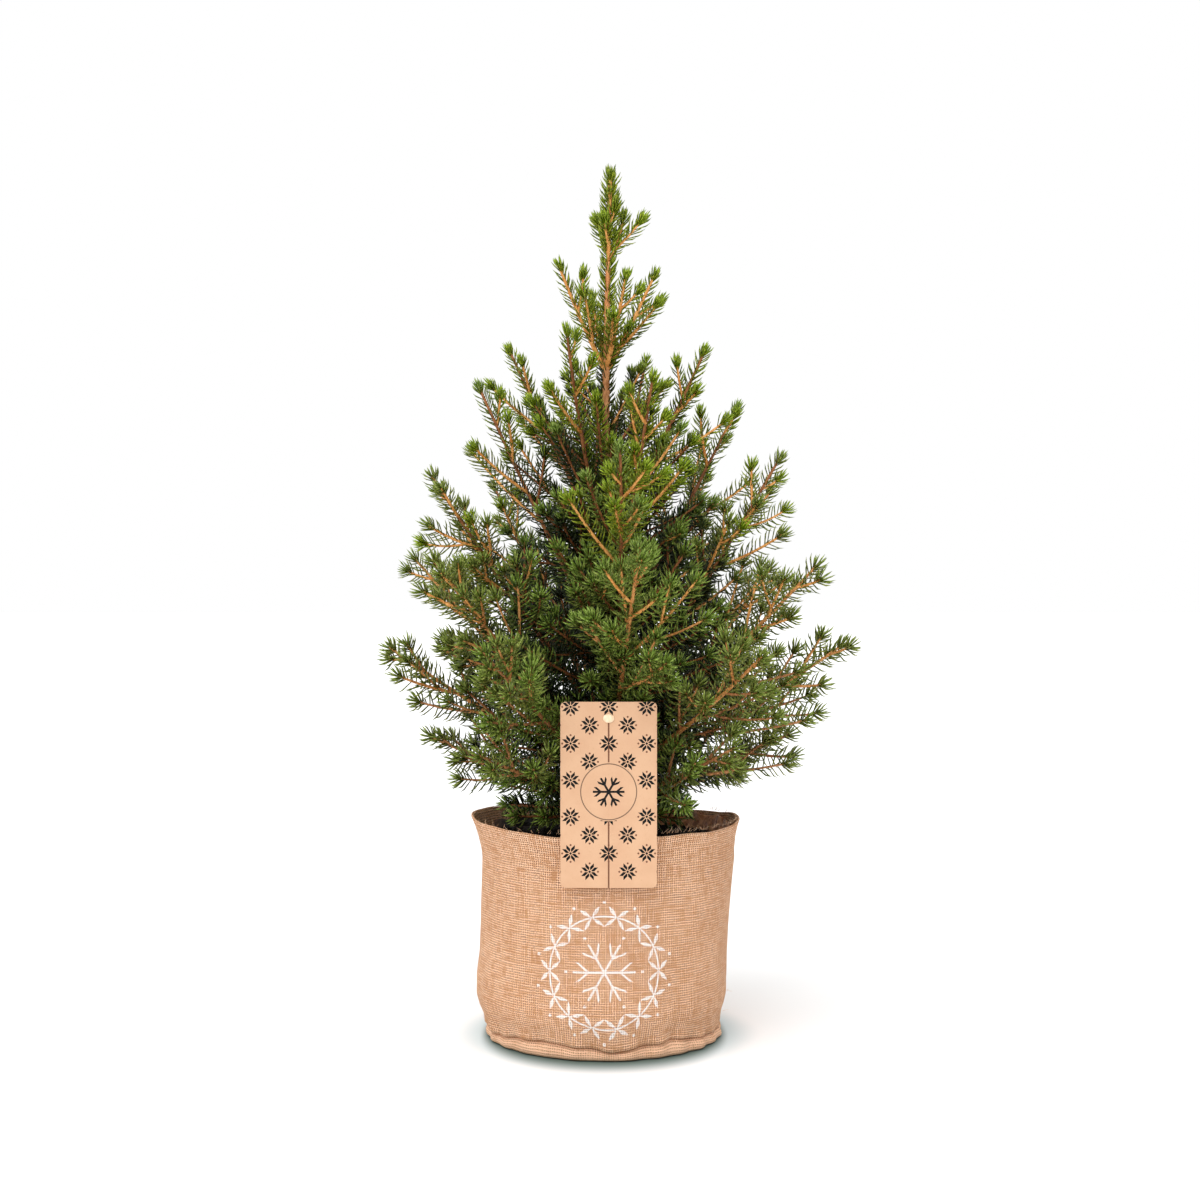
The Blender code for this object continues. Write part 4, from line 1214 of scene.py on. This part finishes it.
def bag_surface(around=420):
    """Jute bag: a profile carried round the axis.

    Radius = profile + lean of the sides + soft waves that grow towards the rim + upright
    wrinkles on the two sides + puckers at the sewn base. The crease above the base goes
    up and down along the ring.
    """
    along, stations = bag_stations()
    profile = resample(BAG_PROFILE, stations)
    z, a = np.meshgrid(profile[:, 0], -math.pi / 2 + turns(around), indexing="ij")
    r = np.repeat(profile[:, 1:2], around, axis=1)
    rise = np.clip(z / RIM_TOP, 0, 1)
    full = np.clip(z / 0.012, 0, 1) * np.clip((r - 0.06) / 0.02, 0, 1)
    side = np.cos(a)
    r = r + full * side * np.interp(z, (0.0, 0.0075, 0.0225, 0.042, 0.06, 0.10, 0.132, 0.16),
                                    (-0.0010, -0.0018, -0.0025, -0.0024, -0.0008, 0.0012, 0.0028, 0.0002))
    tuck = np.interp(z, (0.0, 0.014, 0.034), (0.0028, 0.0022, 0.0))
    r = r - full * side ** 2 * tuck * (0.75 - 0.35 * side)
    r = r + full * (0.0006 * rise * np.cos(3 * a + 0.6) + 0.0009 * rise ** 6 * np.cos(2 * a))
    r = r + full * 0.00045 * waves(a, z, 11, 3, 9, 7, 0.4)
    sides = np.abs(side) ** 1.5
    r = r + full * sides * 0.00055 * waves(a, z, 12, 14, 26, 6, 0.1) * np.clip(1.15 - rise, 0.15, 1)
    folds = np.maximum(waves(a, 0, 17, 11, 23, 6, 0.0) - 0.1, 0) * np.clip((z - 0.009) / 0.006, 0, 1)
    r = r - folds * sides * 0.0020 * np.exp(-np.maximum(z - 0.012, 0) / 0.022)
    puckers = np.exp(-((z - 0.007) / 0.008) ** 2) * np.clip((r - 0.079) / 0.004, 0, 1)
    r = r + puckers * 0.0012 * waves(a, z, 13, 9, 30, 8, 0.8)
    crease = CREASE_HEIGHT + 0.0022 * waves(a[0], 0, 14, 2, 6, 5) + 0.0006 * waves(a[0], 0, 15, 8, 18, 5)
    crease = np.clip(crease, 0.0045, 0.0140)[None, :]
    above = crease + (z - CREASE_HEIGHT) * (CREASE_REACH - crease) / (CREASE_REACH - CREASE_HEIGHT)
    moved = np.where(z < CREASE_HEIGHT, z * crease / CREASE_HEIGHT, above)
    z = np.where(z < CREASE_REACH, moved, z)
    swell = np.interp((a + math.pi / 2) % FULL_TURN, np.radians(RIM_TURN), np.array(RIM_LIFT) / 1000)
    z = z + rise ** 8 * (swell + 0.0004 * np.sin(5 * a + 1.0) + 0.00035 * waves(a, 0, 16, 7, 23, 6))
    poles = ((0.0, 0.0, 0.0004), (0.0, 0.0, 0.1296))
    quads, fans = tube_faces(1, len(stations), around)
    verts = np.concatenate((round_points(r, a, z), poles))
    uv = np.concatenate((cloth_map(stations - along[2], around), np.zeros((len(fans) * 3, 2))))
    return verts, [quads, fans], uv


def cloth_map(heights, around):
    """The cloth's map at each quad's corners, in metres: round from the front, and up the cloth."""
    i, j = np.meshgrid(np.arange(len(heights) - 1), np.arange(around), indexing="ij")
    start = np.where(j >= around // 2, j - around, j)
    step = BAG_RADIUS * FULL_TURN / around
    corners = ((0, 0), (1, 0), (1, 1), (0, 1))
    corners = [np.stack(((start + right) * step, heights[i + up]), -1) for right, up in corners]
    return np.stack(corners, axis=2).reshape(-1, 2)


def lining_surface(around=300, rows=26):
    """Crinkled film inside the bag: a thin closed band, wavy in and out, with a ragged top.

    Radius = wall less a clearance and crinkles; the top edge rises at the right and back.
    """
    angles = turns(around)
    t = np.concatenate((np.linspace(0, 1, rows), np.linspace(1, 0, rows)))
    inner = np.concatenate((np.zeros(rows), np.ones(rows)))
    t, a = np.meshgrid(t, angles, indexing="ij")
    top = 0.1520 + 0.0050 * np.exp(-((np.cos(a - 0.55) - 1) / 0.35) ** 2)
    top = top + 0.0012 * waves(angles, 0, 21, 4, 19, 6)
    z = 0.1420 + (top - 0.1420) * t
    wall = np.interp(z, (0.1380, 0.1480, 0.1540, 0.1600), (0.0918, 0.0934, 0.0950, 0.0968))
    crinkle = 0.0009 * waves(a, z, 22, 12, 40, 9, 1.5) * t
    r = wall - 0.0019 + crinkle + 0.0009 * np.cos(2 * a) * (z / RIM_TOP) ** 6 - 0.0003 * inner[:, None]
    return round_points(r, a, z), [ring_quads(2 * rows, around, closed=True)]


def rim_fibres(count=420):
    """Loose fibres: fine bent hairs that stand off the rim and the wall of the bag."""
    dice = np.random.default_rng(51)
    turn = dice.uniform(0, FULL_TURN, count)
    height = np.where(dice.uniform(0, 1, count) < 0.55, 0.1602, dice.uniform(0.006, 0.158, count))
    wall = np.interp(height, *OUTER_WALL.T) - 0.0012
    root = round_points(wall, turn, height)
    outward = round_points(1.0, turn, np.zeros(count))
    sideways = np.cross(UP, outward)
    up = UP * np.where(height > 0.16, 0.8, dice.uniform(-0.4, 0.4, count))[:, None]
    way = outward * dice.uniform(0.2, 0.6, (count, 1)) + sideways * dice.uniform(-1, 1, (count, 1)) + up
    way = unit(way)
    twist = np.cross(way, dice.uniform(-1, 1, (count, 3)))
    t = np.linspace(0, 1, 6)[None, :, None]
    size = dice.uniform(0.002, 0.0060, (count, 1, 1))
    return root[:, None] + way[:, None] * size * t + twist[:, None] * size * 0.5 * t ** 2


verts, faces, uv = bag_surface()
mesh_piece("jute_bag_cloth", verts, faces, jute_finish(), "jute_weave", ["jute_bag"], corner_uv=uv)
mesh_piece("bag_lining", *lining_surface(), lining_finish(), "jute_weave")


# Soil

def soil_height(out):
    """Height of the soil: it falls to its edge with the fourth power of the distance out."""
    return SOIL_TOP - 0.0008 - 0.0030 * (out / SOIL_RADIUS) ** 4


def soil_surface(around=160, rows=60):
    """Soil: a disc whose height falls to its edge and carries lumps of three sizes."""
    radius = np.concatenate((np.linspace(0.002, SOIL_RADIUS, rows), (SOIL_RADIUS, 0.0880)))
    r, a = np.meshgrid(radius, turns(around), indexing="ij")
    x, y = r * np.cos(a), r * np.sin(a)
    lumps = 0.0
    dice = np.random.default_rng(31)
    for size, height in ((90, 0.0007), (240, 0.0006), (620, 0.0004)):
        for _ in range(6):
            way = dice.uniform(0, 6.283)
            path = size * (x * math.cos(way) + y * math.sin(way))
            lumps = lumps + height * np.cos(path * dice.uniform(0.7, 1.4) + dice.uniform(0, 6.283)) / 2.4
    z = soil_height(r) + lumps
    z[-2:] = np.array((0.1420, 0.1360))[:, None]
    poles = ((0.0, 0.0, SOIL_TOP - 0.0004), (0.0, 0.0, 0.1360))
    faces = tube_faces(1, rows + 2, around)
    return np.concatenate((round_points(r, a, z), poles)), [some[:, ::-1] for some in faces]


def crumbs(count=2600):
    """Small closed lumps: an eight-faced body at each place, with its corners pushed about."""
    dice = np.random.default_rng(41)
    out = 0.090 * np.sqrt(dice.uniform(0, 1, count))
    turn = dice.uniform(0, FULL_TURN, count)
    sizes = 0.0006 + 0.0016 * dice.uniform(0, 1, count) ** 3
    places = round_points(out, turn, soil_height(out) + sizes * 0.35)
    dice = np.random.default_rng(42)
    corners = np.array(((1, 0, 0), (0, 1, 0), (-1, 0, 0), (0, -1, 0), (0, 0, 1), (0, 0, -1)), float)
    shapes = corners[None] * dice.uniform(0.55, 1.0, (count, 6, 1)) + dice.uniform(-0.2, 0.2, (count, 6, 3))
    verts = places[:, None] + shapes * sizes[:, None, None]
    tris = ((0, 1, 4), (1, 2, 4), (2, 3, 4), (3, 0, 4), (1, 0, 5), (2, 1, 5), (3, 2, 5), (0, 3, 5))
    return verts.reshape(-1, 3), [repeated(tris, count, 6)]


mesh_piece("peat_surface", *soil_surface(), soil_finish(), "potting_soil", ["soil"])
mesh_piece("peat_crumbs", *crumbs(), soil_finish(), "potting_soil", smooth=False)
fibres = rim_fibres()
ends = [np.full(len(fibres), radius) for radius in (0.00011, 0.00006)]
mesh_piece("loose_fibres", *tubes(fibres, *ends, 3), fibre_finish(), "jute_weave")


# Card tag and its peg

def peg_surface(around=28):
    """Peg: a round stem carried up, bent forward through the card, and an oval domed head."""
    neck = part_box("tag_peg")[0].y + 0.0014
    path = [np.array((TAG_X, y, z)) for y, z in (
        (-0.0880, 0.1320), (-0.0880, 0.1900), (-0.0880, 0.2330),
        (-0.0880, 0.2345), (-0.0880, TAG_HOLE_Z), (neck + 0.0003, TAG_HOLE_Z))]
    line = np.concatenate((bend(*path[:3], 9), bend(*path[3:], 12)))
    tangents = unit(np.gradient(line, axis=0))
    across = np.array((1.0, 0.0, 0.0))
    rings = line[:, None] + 0.0018 * spokes(across[None], np.cross(tangents, across), around)
    a = turns(around)
    dome = np.linspace(0, 1, 8)
    shape = np.concatenate(((0.45, 0.9), np.sqrt(1 - dome[:-1] ** 2 * 0.98), (0.12,)))[:, None]
    depth = np.concatenate(((0.0, 0.0), dome[:-1], (1.0,)))[:, None] * 0.00135
    head = np.stack((TAG_X + 0.0040 * shape * np.cos(a), np.repeat(neck - depth, around, axis=1),
                     TAG_HOLE_Z + 0.0031 * shape * np.sin(a)), axis=-1)
    poles = ((TAG_X, -0.0880, 0.1318), (TAG_X, neck - 0.00138, TAG_HOLE_Z))
    verts = np.concatenate((rings.reshape(-1, 3), head.reshape(-1, 3), poles))
    return verts, tube_faces(1, len(line) + len(head), around)


# The card tag keeps its solid, with its print as a finish
card = card_finish()
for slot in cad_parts["card_tag"].material_slots:
    slot.material = card
mesh_piece("peg_wood", *peg_surface(), wood_finish(), "pale_wood", ["tag_peg"])


# Floor, light and camera

FLOOR_HALF = 40.0
FLOOR_Z = -0.0003


def sun(name, place, energy, spread):
    """A soft sun that shines from a place towards the plant."""
    data = bpy.data.lights.new(name, "SUN")
    data.energy = energy
    data.angle = math.radians(spread)
    x, y, z = place
    made = placed(name, data)
    made.location = place
    made.rotation_euler = (math.atan2(math.hypot(x, y), z), 0.0, math.atan2(x, -y))


floor_mesh = bpy.data.meshes.new("studio_floor")
corners = ((-1, -1), (1, -1), (1, 1), (-1, 1))
floor_mesh.from_pydata([(x * FLOOR_HALF, y * FLOOR_HALF, FLOOR_Z) for x, y in corners], [], [(0, 1, 2, 3)])
floor_mesh.materials.append(floor_finish())
floor = placed("studio_floor", floor_mesh)

world = bpy.data.worlds.new("studio_sky")
world.use_nodes = True
sky = world.node_tree.nodes["Background"]
sky.inputs["Color"].default_value = (1.0, 1.0, 1.0, 1.0)
seen = world.node_tree.nodes.new("ShaderNodeLightPath")
strength = world.node_tree.nodes.new("ShaderNodeMapRange")
strength.inputs["To Min"].default_value = 0.70
strength.inputs["To Max"].default_value = 1.0
world.node_tree.links.new(seen.outputs["Is Camera Ray"], strength.inputs["Value"])
world.node_tree.links.new(strength.outputs["Result"], sky.inputs["Strength"])
bpy.context.scene.world = world

sun("key_light", (-1.0, -1.7, 2.1), 1.70, 60.0)
sun("fill_light", (1.6, -1.5, 0.8), 0.20, 60.0)
sun("top_light", (-0.1, 0.3, 3.0), 1.10, 90.0)

eye_data = bpy.data.cameras.new("front_camera")
eye_data.lens = CAMERA_LENS
eye_data.sensor_width = 36.0
eye_data.clip_start = 0.01
eye_data.clip_end = 200.0
eye = placed("front_camera", eye_data)
eye.location = CAMERA_PLACE
eye.rotation_euler = (math.pi / 2, 0.0, 0.0)
bpy.context.scene.camera = eye
bpy.context.scene.view_settings.view_transform = "Standard"
